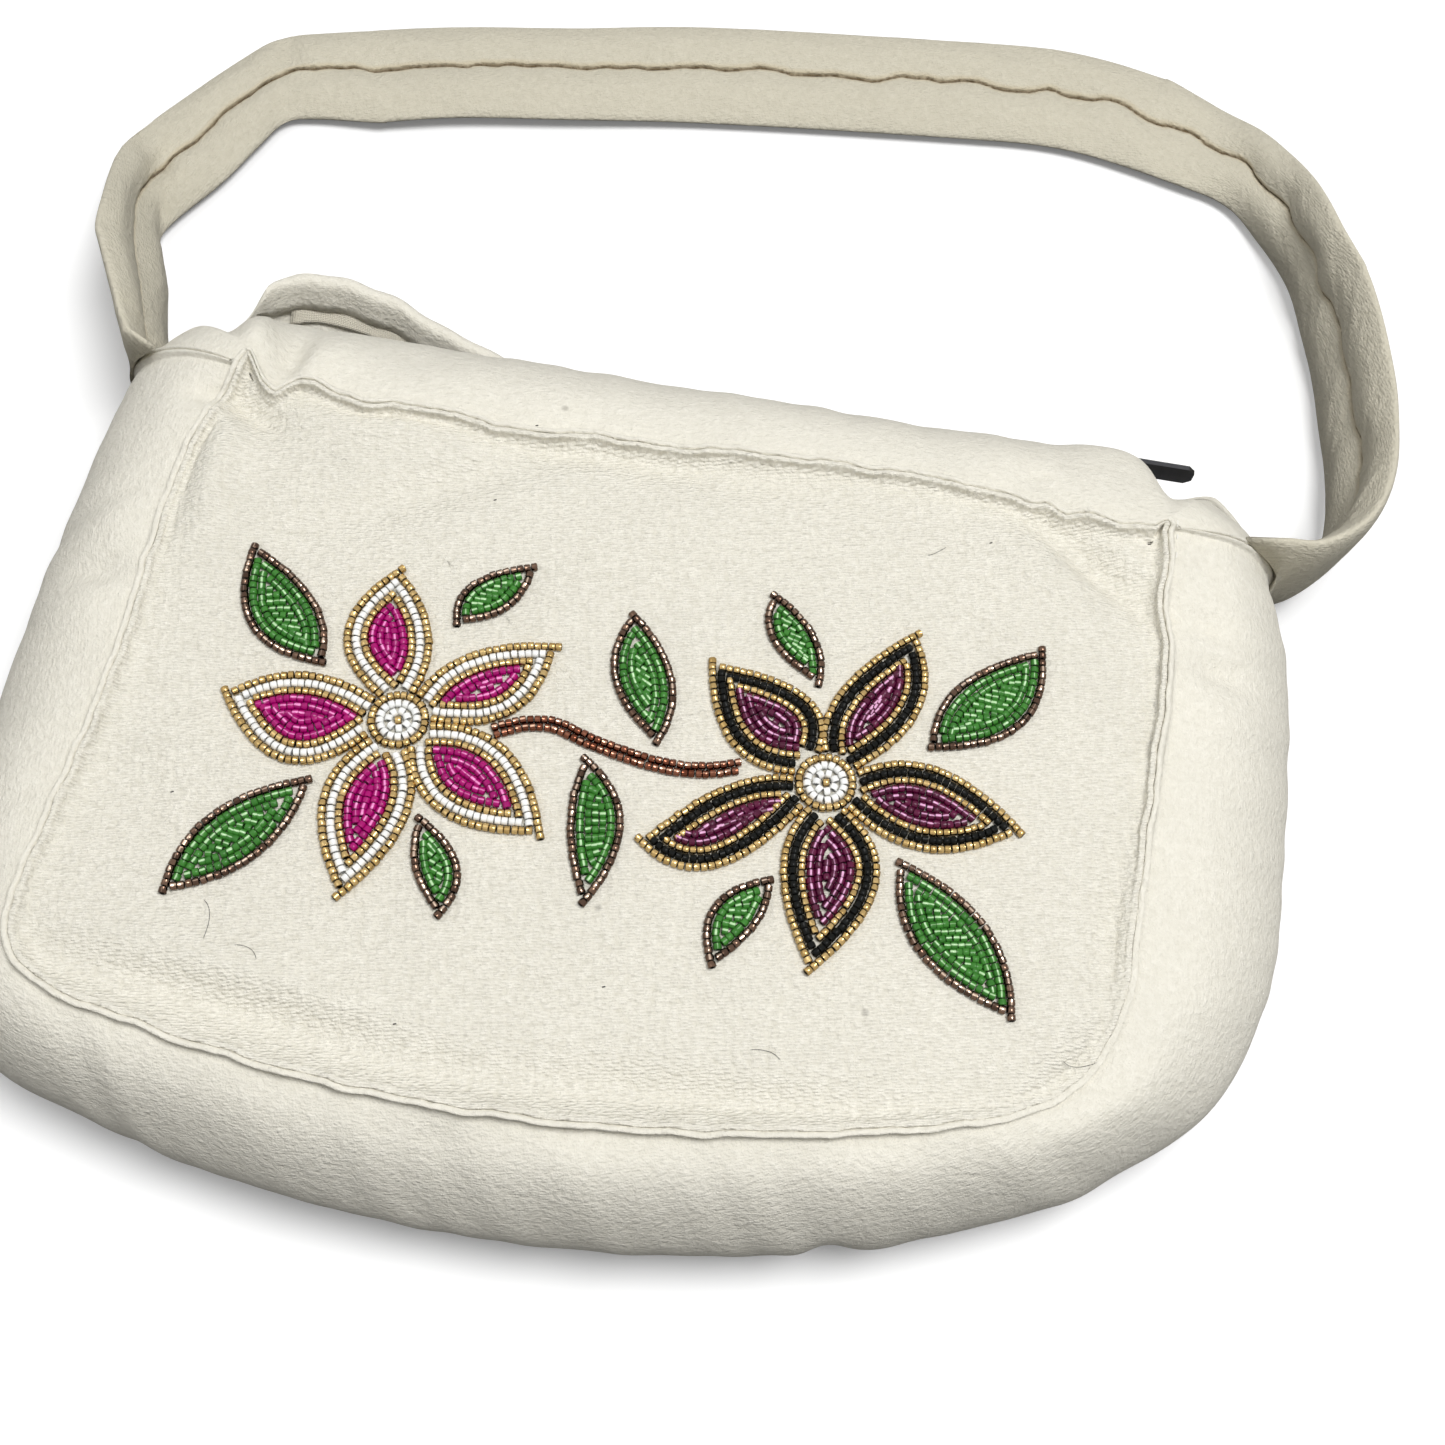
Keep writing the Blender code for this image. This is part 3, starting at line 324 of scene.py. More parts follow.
# Loose hairs on the panel: both ends, then how far the middle bows aside
HAIRS = (
    (-71.7, -51.0, -69.8, -58.3, 1.1),
    (87.8, -54.6, 94.2, -53.5, -0.9),
    (31.0, -62.1, 36.6, -63.1, 0.7),
    (-64.0, -58.5, -59.5, -60.5, 0.8),
    (52.0, 44.0, 55.5, 46.5, -0.6),
)
# Specks on the panel
SPECKS = ((-83.0, -31.3), (-31.2, 60.0), (-32.6, -68.0), (-36.1, 40.8), (64.3, 48.8), (3.0, -55.0))
# White stitches that show beside the ridge near the right corner: both ends
STITCHES = ((101.75, 61.0, 101.85, 59.2), (101.9, 57.6, 101.95, 56.4), (101.95, 53.4, 101.95, 52.0))
# Soft hollows and swells of the front panel: place, reach along X and Y, turn in degrees, height
PANEL_DENTS = (
    (-90.5, 53.5, 9.0, 3.6, -28.0, -4.6),
    (-92.5, 37.0, 4.5, 16.0, 0.0, 3.2),
    (-45.0, 43.0, 24.0, 4.5, 31.0, -2.2),
    (-58.0, 54.0, 14.0, 4.0, 4.0, 1.7),
    (-10.0, 55.5, 44.0, 4.0, -2.0, -1.7),
    (86.0, 48.0, 15.0, 4.2, -34.0, -4.6),
    (76.0, 45.0, 14.0, 6.0, -34.0, 2.0),
    (70.0, 34.0, 20.0, 9.0, -25.0, 1.2),
    (-82.0, -8.0, 14.0, 9.0, 10.0, -1.2),
    (-92.0, -30.0, 9.0, 12.0, 0.0, -1.4),
    (-60.0, -69.5, 32.0, 4.0, -7.0, -2.9),
    (20.0, -72.0, 34.0, 4.0, 2.0, -2.0),
    (-62.0, -63.0, 34.0, 5.0, -7.0, 1.4),
    (90.0, -57.0, 12.0, 4.0, 46.0, -2.8),
    (95.0, -30.0, 4.0, 16.0, 2.0, -2.0),
    (0.0, 0.0, 60.0, 45.0, 0.0, 0.7),
)


def smoothstep(value):
    """3 t squared - 2 t cubed, for t held between 0 and 1."""
    t = np.clip(value, 0.0, 1.0)
    return t * t * (3 - 2 * t)


def quadratic(start, middle, end, steps):
    """A quadratic curve from start to end that passes through middle halfway."""
    start, middle, end = (np.array(point, float) for point in (start, middle, end))
    control = 2 * middle - (start + end) / 2
    t = np.linspace(0, 1, steps + 1)[:, None]
    return (1 - t) ** 2 * start + 2 * t * (1 - t) * control + t**2 * end


def smooth_through(points, spacing):
    """Cubic spans through the points, each with the slopes of its neighbours, in steps of one spacing."""
    points = np.array(points, float)
    padded = np.vstack([2 * points[0] - points[1], points, 2 * points[-1] - points[-2]])
    spans = []
    for a, b, c, d in zip(padded, padded[1:], padded[2:], padded[3:]):
        steps = max(2, round(float(np.linalg.norm((c - b)[:2])) / spacing))
        t = np.linspace(0, 1, steps, endpoint=False)[:, None]
        span = (2 * t**3 - 3 * t**2 + 1) * b + (3 * t**2 - 2 * t**3) * c
        spans.append(span + (t**3 - 2 * t**2 + t) * (c - a) / 2 + (t**3 - t**2) * (d - b) / 2)
    return np.vstack([*spans, points[-1:]])


def directions(path):
    """Unit vectors along a path, from the differences of neighbouring points."""
    steps = np.gradient(path, axis=0)
    return steps / np.linalg.norm(steps, axis=1, keepdims=True)


def left_of(way):
    """Each plane vector turned a quarter turn to the left."""
    return np.stack([-way[..., 1], way[..., 0]], axis=-1)


def lengths_along(path):
    """The length of the path up to each of its points."""
    return np.concatenate([[0.0], np.cumsum(np.linalg.norm(np.diff(path, axis=0), axis=1))])


def read_along(path, wanted, length=None):
    """Points of the path at these lengths, measured along it or on the companion whose lengths are given."""
    length = lengths_along(path) if length is None else length
    return np.column_stack([np.interp(wanted, length, path[:, k]) for k in range(path.shape[1])])


def waves(place, seed, shortest, longest, count=7, around=None):
    """A sum of sines of random wavelengths and phases, about 1 high, the same for the same seed.

    On a closed line of the length given as around, each wavelength is evened so that it fits a whole number
    of times.
    """
    chance = np.random.default_rng(seed)
    wavelength = chance.uniform(shortest, longest, count)
    if around:
        wavelength = around / np.round(around / wavelength)
    phase = chance.uniform(0, WHOLE_TURN, count)
    return np.sin(np.asarray(place)[..., None] * 2 * math.pi / wavelength + phase).sum(-1) / math.sqrt(count)


def seam_path():
    """The seam line, clockwise from the middle of its top: four curved sides with rounded corners."""
    half_width, half_side = PANEL_WIDTH / 2, PANEL_SIDE / 2
    corners = [
        ((half_width, half_side), TOP_ROUND),
        ((half_width - RIGHT_CORNER_IN, RIGHT_CORNER_UP - half_side), RIGHT_ROUND),
        ((-half_width - LEFT_CORNER_OUT, -half_side - LEFT_CORNER_DOWN), LEFT_ROUND),
        ((-half_width, half_side), TOP_ROUND),
    ]
    sags = [0.0, 0.0, BOTTOM_SAG, 0.0]
    trimmed = []
    for k, (corner, rounding) in enumerate(corners):
        before, rounding_before = corners[k - 1]
        middle = (np.array(before) + np.array(corner)) / 2 - (0.0, sags[k])
        edge = quadratic(before, middle, corner, SIDE_STEPS)
        from_start = np.linalg.norm(edge - edge[0], axis=1)
        from_end = np.linalg.norm(edge - edge[-1], axis=1)
        trimmed.append(edge[(from_start >= rounding_before) & (from_end >= rounding)])
    pieces = []
    for k, edge in enumerate(trimmed):
        after = trimmed[(k + 1) % 4]
        middle = edge[-1] / 4 + np.array(corners[k][0]) / 2 + after[0] / 4
        pieces += [edge[:-1], quadratic(edge[-1], middle, after[0], CORNER_STEPS)[:-1]]
    path = np.vstack(pieces)
    start = int(np.argmin(np.abs(path[: len(trimmed[0]), 0])))
    path = np.roll(path, -start, axis=0)
    return np.vstack([path, path[:1]])


class Seam:
    """The seam line with its outward normals, the bulge of the wall on it, and how its ridge lies."""

    def __init__(self):
        self.path = seam_path()
        steps = np.roll(self.path[:-1], -1, axis=0) - np.roll(self.path[:-1], 1, axis=0)
        steps = np.vstack([steps, steps[:1]])
        normal = left_of(steps / np.linalg.norm(steps, axis=1, keepdims=True))
        angle = np.unwrap(np.arctan2(normal[:, 1], normal[:, 0]))
        self.angle = angle - angle[0] + math.pi / 2
        length = np.linalg.norm(np.diff(self.path, axis=0), axis=1)
        turn = np.abs(np.diff(self.angle))
        self.measure = np.concatenate([[0.0], np.cumsum(length + turn * TOP_BULGE)])
        self.length = np.concatenate([[0.0], np.cumsum(length)])
        self.reach = self.evened_bulge(length)
        self.shift = np.column_stack([self.smooth_table(RIDGE_SHIFTS, k, SHIFT_BLUR) for k in (2, 3)])
        self.stand = self.smooth_table(RIDGE_STAND, 2, STAND_BLUR)
        self.lean = self.smooth_table(RIDGE_STAND, 3, STAND_BLUR)

    def evened_bulge(self, length):
        """The bulge by direction, averaged with bell-shaped weights save on the straight top."""
        x, y = np.cos(self.angle), np.sin(self.angle)
        side, end = np.where(x > 0, RIGHT_BULGE, LEFT_BULGE), np.where(y > 0, TOP_BULGE, BOTTOM_BULGE)
        raw = side * x**2 + end * y**2 - CORNER_DIP * 4 * x**2 * y**2
        apart = np.abs(self.length[:, None] - self.length[None, :-1])
        apart = np.minimum(apart, self.length[-1] - apart)
        weight = length * np.exp(-((apart / BULGE_BLEND) ** 2))
        share = smoothstep((1 - y) * 4)
        return raw * (1 - share) + (weight @ raw[:-1]) / weight.sum(1) * share

    def smooth_table(self, table, column, blur):
        """A table's column read along the whole seam, then averaged with bell-shaped weights."""
        table = np.array(table)
        nearest = ((self.path[:, None] - table[None, :, :2]) ** 2).sum(-1).argmin(0)
        order = np.argsort(self.length[nearest])
        at, value = self.length[nearest][order], table[order, column]
        whole = self.length[-1]
        grid = np.linspace(0, whole, 2400, endpoint=False)
        known = np.concatenate([at - whole, at, at + whole])
        dense = np.interp(grid, known, np.tile(value, 3))
        offset = np.minimum(grid, whole - grid)
        bell = np.exp(-((offset / blur) ** 2))
        blurred = np.fft.irfft(np.fft.rfft(dense) * np.fft.rfft(bell / bell.sum()), len(grid))
        return np.interp(self.length, np.append(grid, whole), np.append(blurred, blurred[0]))

    def read(self, measure, values):
        """A value of the seam at places along it."""
        measure = np.asarray(measure) % self.measure[-1]
        if values.ndim == 1:
            return np.interp(measure, self.measure, values)
        return np.column_stack([np.interp(measure, self.measure, column) for column in values.T])

    def place(self, measure):
        """Points, outward normals, bulges and ridge shifts at places along the seam."""
        angle = self.read(measure, self.angle)
        normal = np.column_stack([np.cos(angle), np.sin(angle)])
        path, reach, shift = (self.read(measure, values) for values in (self.path, self.reach, self.shift))
        return path, normal, reach, shift

    def at_angle(self, angle):
        """The place where the outward normal has turned to this angle."""
        return float(np.interp(-angle, -self.angle, self.measure))


def wall_curve(turn, reach):
    """Out by reach times sin(turn), and down from front to back by ((1 - cos(turn)) / 2) to a power."""
    fall = ((1 - np.cos(turn)) / 2) ** SAG_POWER
    out, height = RIDGE_MIDDLE + reach * np.sin(turn), FRONT_START + (BACK_END - FRONT_START) * fall
    return np.stack([out, height], axis=-1)


def turn_at(height):
    """The wall's turn at a height, the reverse of its fall."""
    fall = (np.asarray(height) - FRONT_START) / (BACK_END - FRONT_START)
    return np.arccos(1 - 2 * fall ** (1 / SAG_POWER))


def slot_half(x):
    """Half the height between the two top strips, which close on each other past the zip's ends."""
    past = smoothstep((np.abs(x) - ZIP_HALF) / ZIP_CLOSING)
    return (COIL_SPACE / 2 + COIL + TAPE_SHOWN) * (1 - past) + GAP * past


def gape(x):
    """How far the back half of the mouth stands away: a rise to the peak times a fall to the right."""
    left, right, peak = (-PANEL_WIDTH / 2 + value for value in (-GAPE_LEFT, GAPE_RIGHT, GAPE_PEAK))
    return GAPE * smoothstep((x - left) / (peak - left)) * smoothstep((right - x) / (right - peak))


def mouth_share(turns, edge):
    """The share of the gape that the back strip takes, from 1 at its zip edge to 0 at its seam."""
    return np.clip((math.pi - turns) / (math.pi - edge), 0.0, 1.0) ** 1.3


def opened(points, share):
    """Points moved away from the front and up by their share of the gape at their X."""
    amount = gape(points[..., 0]) * share
    return points + np.stack([0 * amount, amount, amount / GAPE * GAPE_RISE], axis=-1)


def panel_height(x, y):
    """Slow waves plus bell-shaped hollows and swells, each turned by its own angle."""
    height = 0.25 * np.sin(x / 17 + y / 23 + 0.7) * np.sin(y / 15 - x / 41) + 0.12 * np.sin(x / 6.1 - y / 9.3)
    for cx, cy, rx, ry, turn, rise in PANEL_DENTS:
        c, s = math.cos(math.radians(turn)), math.sin(math.radians(turn))
        u, v = ((x - cx) * c + (y - cy) * s) / rx, ((y - cy) * c - (x - cx) * s) / ry
        height = height + rise * np.exp(-(u * u + v * v))
    return height


class Shape:
    """Points and faces of one mesh, gathered part by part in millimetres."""

    def __init__(self):
        self.points, self.faces, self.uv, self.values, self.count = [], [], [], {}, 0

    def add(self, points, faces, uv=None, **values):
        """More points and their faces, with a value for each point under each name."""
        points = points.reshape(-1, 3)
        self.points.append(points)
        self.faces += [np.asarray(group) + self.count for group in faces]
        self.uv.append(points[:, :2] / 100 if uv is None else uv.reshape(-1, 2))
        for name, value in values.items():
            self.values.setdefault(name, []).append(np.ravel(value))
        self.count += len(points)

    def mesh(self, name):
        """The gathered parts as one Blender mesh in metres, facing outwards."""
        points = np.vstack(self.points)
        loops = np.concatenate([group.ravel() for group in self.faces]).astype(np.int32)
        sizes = np.concatenate([np.full(len(group), group.shape[1]) for group in self.faces])
        made = bpy.data.meshes.new(name)
        made.vertices.add(len(points))
        made.vertices.foreach_set("co", (points * MM).astype(np.float32).ravel())
        made.loops.add(len(loops))
        made.loops.foreach_set("vertex_index", loops)
        made.polygons.add(len(sizes))
        starts = np.concatenate([[0], np.cumsum(sizes)[:-1]]).astype(np.int32)
        made.polygons.foreach_set("loop_start", starts)
        layer = made.uv_layers.new(name="cut")
        layer.data.foreach_set("uv", np.vstack(self.uv)[loops].astype(np.float32).ravel())
        for key, value in self.values.items():
            attribute = made.attributes.new(key, "FLOAT", "POINT")
            attribute.data.foreach_set("value", np.concatenate(value).astype(np.float32))
        made.update(calc_edges=True)
        made.validate()
        made.polygons.foreach_set("use_smooth", np.ones(len(sizes), bool))
        return made


def grid_faces(rows, columns, closed_rows=False, closed_columns=False):
    """Quads between neighbouring rows and columns of a grid of points."""
    i = np.arange(rows if closed_rows else rows - 1)[:, None]
    j = np.arange(columns if closed_columns else columns - 1)[None]
    i2, j2 = (i + 1) % rows, (j + 1) % columns
    quads = np.stack([i * columns + j, i * columns + j2, i2 * columns + j2, i2 * columns + j], axis=-1)
    return quads.reshape(-1, 4)


def outward(points, faces):
    """The faces, turned round if the body's signed volume says that they point inwards."""
    volume = 0.0
    for group in faces:
        corner = points.reshape(-1, 3)[group]
        for k in range(1, group.shape[1] - 1):
            volume += np.einsum("ij,ij->", corner[:, 0], np.cross(corner[:, k], corner[:, k + 1]))
    return faces if volume > 0 else [group[:, ::-1] for group in faces]


def ladder_body(sections, uv, **values):
    """A body along sections of (outer line, inner line reversed), closed at both ends by rungs."""
    count, ring = sections.shape[:2]
    j = np.arange(ring // 2 - 1)
    start = np.stack([j + 1, j, ring - 1 - j, ring - 2 - j], axis=-1)
    stop = np.stack([j, j + 1, ring - 2 - j, ring - 1 - j], axis=-1) + (count - 1) * ring
    faces = outward(sections, [grid_faces(count, ring, closed_columns=True), start, stop])
    shape = Shape()
    shape.add(sections, faces, uv, **values)
    return shape


def ring_body(rings):
    """A body of closed rings, each joined to the next, with a fan to a middle point at both ends."""
    count, around = rings.shape[:2]
    ring, beside = np.arange(around), (np.arange(around) + 1) % around
    last = (count - 1) * around
    fans = [np.column_stack([np.full(around, count * around), beside, ring]),
            np.column_stack([np.full(around, count * around + 1), ring + last, beside + last])]
    points = np.vstack([rings.reshape(-1, 3), rings[0].mean(0), rings[-1].mean(0)])
    shape = Shape()
    shape.add(points, outward(points, [grid_faces(count, around, closed_columns=True), *fans]))
    return shape


def tube(path, radius, sides, shape=None):
    """A round tube along a path of 3D points, narrowed to a small cap at both ends."""
    way = directions(path)
    lift = np.where(np.abs(way[:, 2:]) > 0.9, (1.0, 0.0, 0.0), (0.0, 0.0, 1.0))
    aside = np.cross(way, lift)
    aside /= np.linalg.norm(aside, axis=1, keepdims=True)
    up = np.cross(aside, way)
    angle = np.linspace(0, WHOLE_TURN, sides, endpoint=False)[None, :, None]
    size = np.full((len(path), 1, 1), radius)
    size[[0, -1]] *= 0.5
    rings = path[:, None] + size * (np.cos(angle) * aside[:, None] + np.sin(angle) * up[:, None])
    caps = [np.arange(sides)[None, ::-1], np.arange(sides)[None] + (len(path) - 1) * sides]
    faces = outward(rings, [grid_faces(len(path), sides, closed_columns=True), *caps])
    shape = shape or Shape()
    shape.add(rings, faces)
    return shape


def add_piece(name, shape, look, nodes=(), body="bag"):
    """Links a shape as a piece that rides on its body and stands for its CAD nodes."""
    mesh = shape.mesh(name)
    mesh.materials.append(look)
    made = bpy.data.objects.new(name, mesh)
    bpy.context.scene.collection.objects.link(made)
    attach(made, body)
    if nodes:
        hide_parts(*nodes)
    return made


# Materials


class Nodes:
    """Short ways to add nodes to a shader tree."""

    def __init__(self, tree):
        self.tree = tree

    def feed(self, socket, value):
        """Links a socket to an output or sets its own value. A colour of three numbers gets its alpha."""
        if isinstance(value, bpy.types.NodeSocket):
            self.tree.links.new(value, socket)
        elif socket.type == "RGBA" and len(value) == 3:
            socket.default_value = (*value, 1.0)
        else:
            socket.default_value = value

    def node(self, kind, **settings):
        """A new node, with sockets set by name and other settings as attributes."""
        made = self.tree.nodes.new("ShaderNode" + kind)
        for key, value in settings.items():
            if hasattr(made, key):
                setattr(made, key, value)
            else:
                self.feed(made.inputs[key.replace("_", " ")], value)
        return made

    def object_place(self):
        return self.node("TexCoord").outputs["Object"]

    def cut_place(self):
        return self.node("UVMap", uv_map="cut").outputs["UV"]

    def attribute(self, name):
        return self.node("Attribute", attribute_name=name).outputs["Fac"]

    def noise(self, place, scale, detail=2.0, roughness=0.55):
        made = self.node("TexNoise", Vector=place, Scale=scale, Detail=detail, Roughness=roughness)
        return made.outputs["Fac"]

    def spread(self, value, low, high, to_low=0.0, to_high=1.0):
        """A value between two limits, moved to lie between two others."""
        return self.node("MapRange", Value=value, From_Min=low, From_Max=high, To_Min=to_low,
                         To_Max=to_high).outputs["Result"]

    def mixed(self, share, first, second):
        """Two colours mixed by a share."""
        made = self.node("Mix", data_type="RGBA")
        for socket, value in zip((made.inputs[0], made.inputs[6], made.inputs[7]), (share, first, second)):
            self.feed(socket, value)
        return made.outputs[2]

    def maths(self, operation, first, second):
        made = self.node("Math", operation=operation)
        self.feed(made.inputs[0], first)
        self.feed(made.inputs[1], second)
        return made.outputs[0]

    def seen(self):
        """1 on what the camera sees straight, mirrored or through glass, and 0 on what lights the bag."""
        rays = self.node("LightPath").outputs
        share = self.maths("MAXIMUM", rays["Is Camera Ray"], rays["Is Glossy Ray"])
        return self.maths("MAXIMUM", share, rays["Is Transmission Ray"])


class Look(Nodes):
    """A material under construction, with its Principled shader."""

    def __init__(self, name, roughness, metallic=0.0, **sockets):
        self.material = bpy.data.materials.new(name + "_finish")
        self.material.use_nodes = True
        super().__init__(self.material.node_tree)
        self.shader = self.tree.nodes["Principled BSDF"]
        for socket, value in {"Roughness": roughness, "Metallic": metallic, **sockets}.items():
            self.link(value, socket.replace("_", " "))

    def link(self, value, socket):
        self.feed(self.shader.inputs[socket], value)

    def bump(self, height, distance):
        made = self.node("Bump", Height=height, Distance=distance, Strength=BUMP_STRENGTH)
        self.link(made.outputs[0], "Normal")


def toned(colour, share):
    """The colour with each of its values times a share."""
    return tuple(value * share for value in colour)


def finish_of(name):
    """The finish made here for a slot. The slot's bare name is the CAD's own plain material."""
    return bpy.data.materials[name + "_finish"]


def wool_look(name, colour, weave, specks=0.35, depth=1.0, crease=False):
    """Brushed wool: short raised floats laid like bricks, matted nap, faint blotches and a few dark specks,
    with painted shade in the pits between the floats and in the low nap.

    Where crease is set, painted shade darkens the groove of the lapped seam, with a warm painted shading
    beside it.
    """
    look = Look(name, 0.95, Sheen_Weight=0.06, Sheen_Roughness=0.6, Specular_IOR_Level=0.05)
    place, cut = look.object_place(), look.cut_place()
    blotch = look.spread(look.noise(place, 55.0, 3.0), 0.3, 0.7)
    nap = look.spread(look.noise(place, 620.0, 4.0, 0.7), 0.3, 0.7)
    slanted = look.node("Mapping", Vector=cut, Rotation=(0.0, 0.0, WEAVE_SLANT)).outputs[0]
    laid = look.node("Mapping", Vector=slanted, Scale=WEAVE_FLOATS).outputs[0]
    floats = look.node("TexVoronoi", Vector=laid, voronoi_dimensions="2D", Scale=1.0, Randomness=0.7)
    yarn = look.spread(floats.outputs["Distance"], 0.12, 0.66, 1.0, 0.0)
    raised = look.maths("MULTIPLY", yarn, weave)
    # Painted shade: the pits between the raised floats and the low nap are darkened towards this colour, more
    # so where depth is larger.
    dark = tuple(value * (1 - depth * loss) for value, loss in zip(colour, PIT_SHADE_LOSS))
    tone = look.mixed(blotch, toned(colour, 0.94), colour)
    pit_shade_share = look.maths("ADD", look.spread(raised, 0.0, 1.0, 0.42, 0.0), look.spread(nap, 0.0, 1.0, 0.5, 0.0))
    tone = look.mixed(pit_shade_share, tone, dark)
    speck = look.node("TexVoronoi", Vector=place, Scale=78.0, Randomness=1.0)
    near = look.spread(speck.outputs["Distance"], 0.035, 0.075, specks, 0.0)
    chosen = look.spread(look.node("SeparateColor", Color=speck.outputs["Color"]).outputs[0], 0.90, 0.91)
    tone = look.mixed(look.maths("MULTIPLY", near, chosen), tone, SPECK_COLOUR)
    fur = look.noise(place, 1100.0, 3.0, 0.7)
    height = look.maths("ADD", look.maths("ADD", nap, raised), look.maths("MULTIPLY", fur, 0.8))
    # Painted shade along the strap's seam groove: a warm shading beside it and a darker broken line in it.
    if crease:
        beside = look.maths("ABSOLUTE", look.attribute("seam"), 0.0)
        broken = look.spread(nap, 0.0, 1.0, 1.0, 0.55)
        line = look.maths("MULTIPLY", look.spread(beside, 0.10, 0.46, 1.0, 0.0), broken)
        tone = look.mixed(look.spread(beside, 0.2, 1.5, 0.4, 0.0), tone, SEAM_SIDE_SHADE)
        tone = look.mixed(line, tone, SEAM_GROOVE_SHADE)
        height = look.maths("SUBTRACT", height, look.maths("MULTIPLY", line, 2.0))
    look.link(tone, "Base Color")
    look.bump(height, WOOL_BUMP * depth)
    return look.material


def cord_look(name, colour):
    """Woven zip tape: fine ribs along and across."""
    look = Look(name, 0.85, Sheen_Weight=0.1)
    cut = look.cut_place()
    ribs = look.node("TexWave", Vector=cut, Scale=60.0, Distortion=0.4, bands_direction="X").outputs["Fac"]
    rows = look.node("TexWave", Vector=cut, Scale=95.0, Distortion=0.4, bands_direction="Y").outputs["Fac"]
    both = look.maths("MULTIPLY", ribs, rows)
    look.link(look.mixed(both, toned(colour, 0.82), colour), "Base Color")
    look.bump(both, TAPE_BUMP)
    return look.material


def plain_look(name, colour, roughness, metallic=0.0, mottle=0.12):
    """A smooth finish with faint blotches in its tone and fine scratches in its gloss."""
    look = Look(name, roughness, metallic)
    place = look.object_place()
    blotch = look.noise(place, 240.0, 3.0)
    look.link(look.mixed(blotch, toned(colour, 1 - mottle), colour), "Base Color")
    scratches = look.noise(place, 1500.0, 2.0)
    look.link(look.spread(scratches, 0.3, 0.7, roughness * 0.85, roughness * 1.2), "Roughness")
    return look.material


def bead_look(name, colour, other, roughness, metallic, end_shade_and_thread, coat=0.0, dash=None, **sockets):
    """Glass or plated beads of their own tones, with painted shade and dark thread at their ends, some with a
    painted highlight along their top.
    """
    look = Look(name, roughness, metallic, Coat_Weight=coat, Coat_Roughness=0.08, **sockets)
    tone = look.mixed(look.attribute("tone"), colour, other)
    # Painted highlight: a light colour along the top line of each bead, stronger on some beads than on
    # others.
    if dash:
        tone = look.mixed(look.spread(look.attribute("dash"), 0.38, 0.66, 0.0, 0.9), tone, dash)
    # Painted shade where the beads meet, together with the dark thread there: the ends are mixed towards a
    # near-black of the bead's colour.
    ends = look.maths("MULTIPLY", look.attribute("end"), end_shade_and_thread)
    look.link(look.mixed(ends, tone, toned(colour, 0.06)), "Base Color")
    return look.material


# Finishes of the zip and the threads: colour, roughness, metal, mottling
PLAIN_FINISHES = (
    ("zip_coil", (0.78, 0.74, 0.63), 0.4),
    ("gunmetal", (0.075, 0.075, 0.08), 0.32, 1.0, 0.3),
    ("sewing_thread", (0.86, 0.84, 0.78), 0.7),
    ("lint", (0.05, 0.045, 0.04), 0.8),
)
# Finishes of the beads: two tones, roughness, metal, painted shade and dark thread at the ends, coat, painted
# highlight along the top, sockets
DULL, DULLER = {"Specular_IOR_Level": 0.2}, {"Specular_IOR_Level": 0.1}
BEAD_FINISHES = (
    ("gold_bead", (0.40, 0.265, 0.10), (0.56, 0.40, 0.18), 0.25, 1.0, 0.95, {}),
    ("white_bead", (0.80, 0.80, 0.78), (0.90, 0.90, 0.87), 0.25, 0.0, 0.5, 0.4, {}),
    ("black_bead", (0.003, 0.0035, 0.003), (0.006, 0.0065, 0.006), 0.3, 0.0, 0.9, DULLER),
    ("magenta_bead", (0.37, 0.0, 0.14), (0.29, 0.0, 0.115), 0.3, 0.0, 0.35, 0.12, (0.88, 0.30, 0.62), DULL),
    ("plum_bead", (0.10, 0.003, 0.036), (0.055, 0.002, 0.020), 0.3, 0.0, 0.6, 0.12, (0.80, 0.42, 0.66), DULL),
    ("bronze_bead", (0.07, 0.042, 0.03), (0.16, 0.10, 0.07), 0.18, 1.0, 0.9, 0.0, (0.70, 0.54, 0.42), {}),
    ("green_bead", (0.03, 0.15, 0.018), (0.045, 0.20, 0.026), 0.3, 0.0, 0.6, 0.12, (0.50, 0.74, 0.42), DULL),
    ("red_brown_bead", (0.12, 0.04, 0.022), (0.22, 0.09, 0.055), 0.18, 1.0, 0.9, 0.0, (0.66, 0.42, 0.30), {}),
)


# Settings


class ClothSettings(bpy.types.PropertyGroup):
    """What a maker would change on the cloth."""

    colour: FloatVectorProperty(
        name="Wool colour", description="Colour of the brushed wool", subtype="COLOR", size=3,
        min=0.0, max=1.0, default=(0.90, 0.87, 0.78))
    strap_colour: FloatVectorProperty(
        name="Strap colour", description="Colour of the strap's wool, a little warmer than the bag's",
        subtype="COLOR", size=3, min=0.0, max=1.0, default=(0.70, 0.66, 0.545))
    ridge_wave: FloatProperty(
        name="Ridge waves", description="How far the sewn ridge wanders from side to side",
        default=0.25 * MM, min=0.0, max=2.0 * MM, unit="LENGTH", precision=5)
    weave: FloatProperty(
        name="Weave", description="How clearly the woven floats show through the nap",
        default=0.8, min=0.0, max=2.0)


class BeadSettings(bpy.types.PropertyGroup):
    """What a maker would change on the beads."""

    diameter: FloatProperty(
        name="Bead diameter", description="Outside diameter of a cylinder bead",
        default=1.6 * MM, min=1.0 * MM, max=2.0 * MM, unit="LENGTH", precision=5)
    length: FloatProperty(
        name="Bead length", description="Length of a cylinder bead along its hole",
        default=1.24 * MM, min=0.8 * MM, max=2.0 * MM, unit="LENGTH", precision=5)
    pitch: FloatProperty(
        name="Bead pitch", description="Distance from one bead to the next in a row",
        default=1.38 * MM, min=1.0 * MM, max=2.2 * MM, unit="LENGTH", precision=5)
    sides: IntProperty(
        name="Sides", description="Flat sides that make up a bead's round", default=10, min=6, max=24)


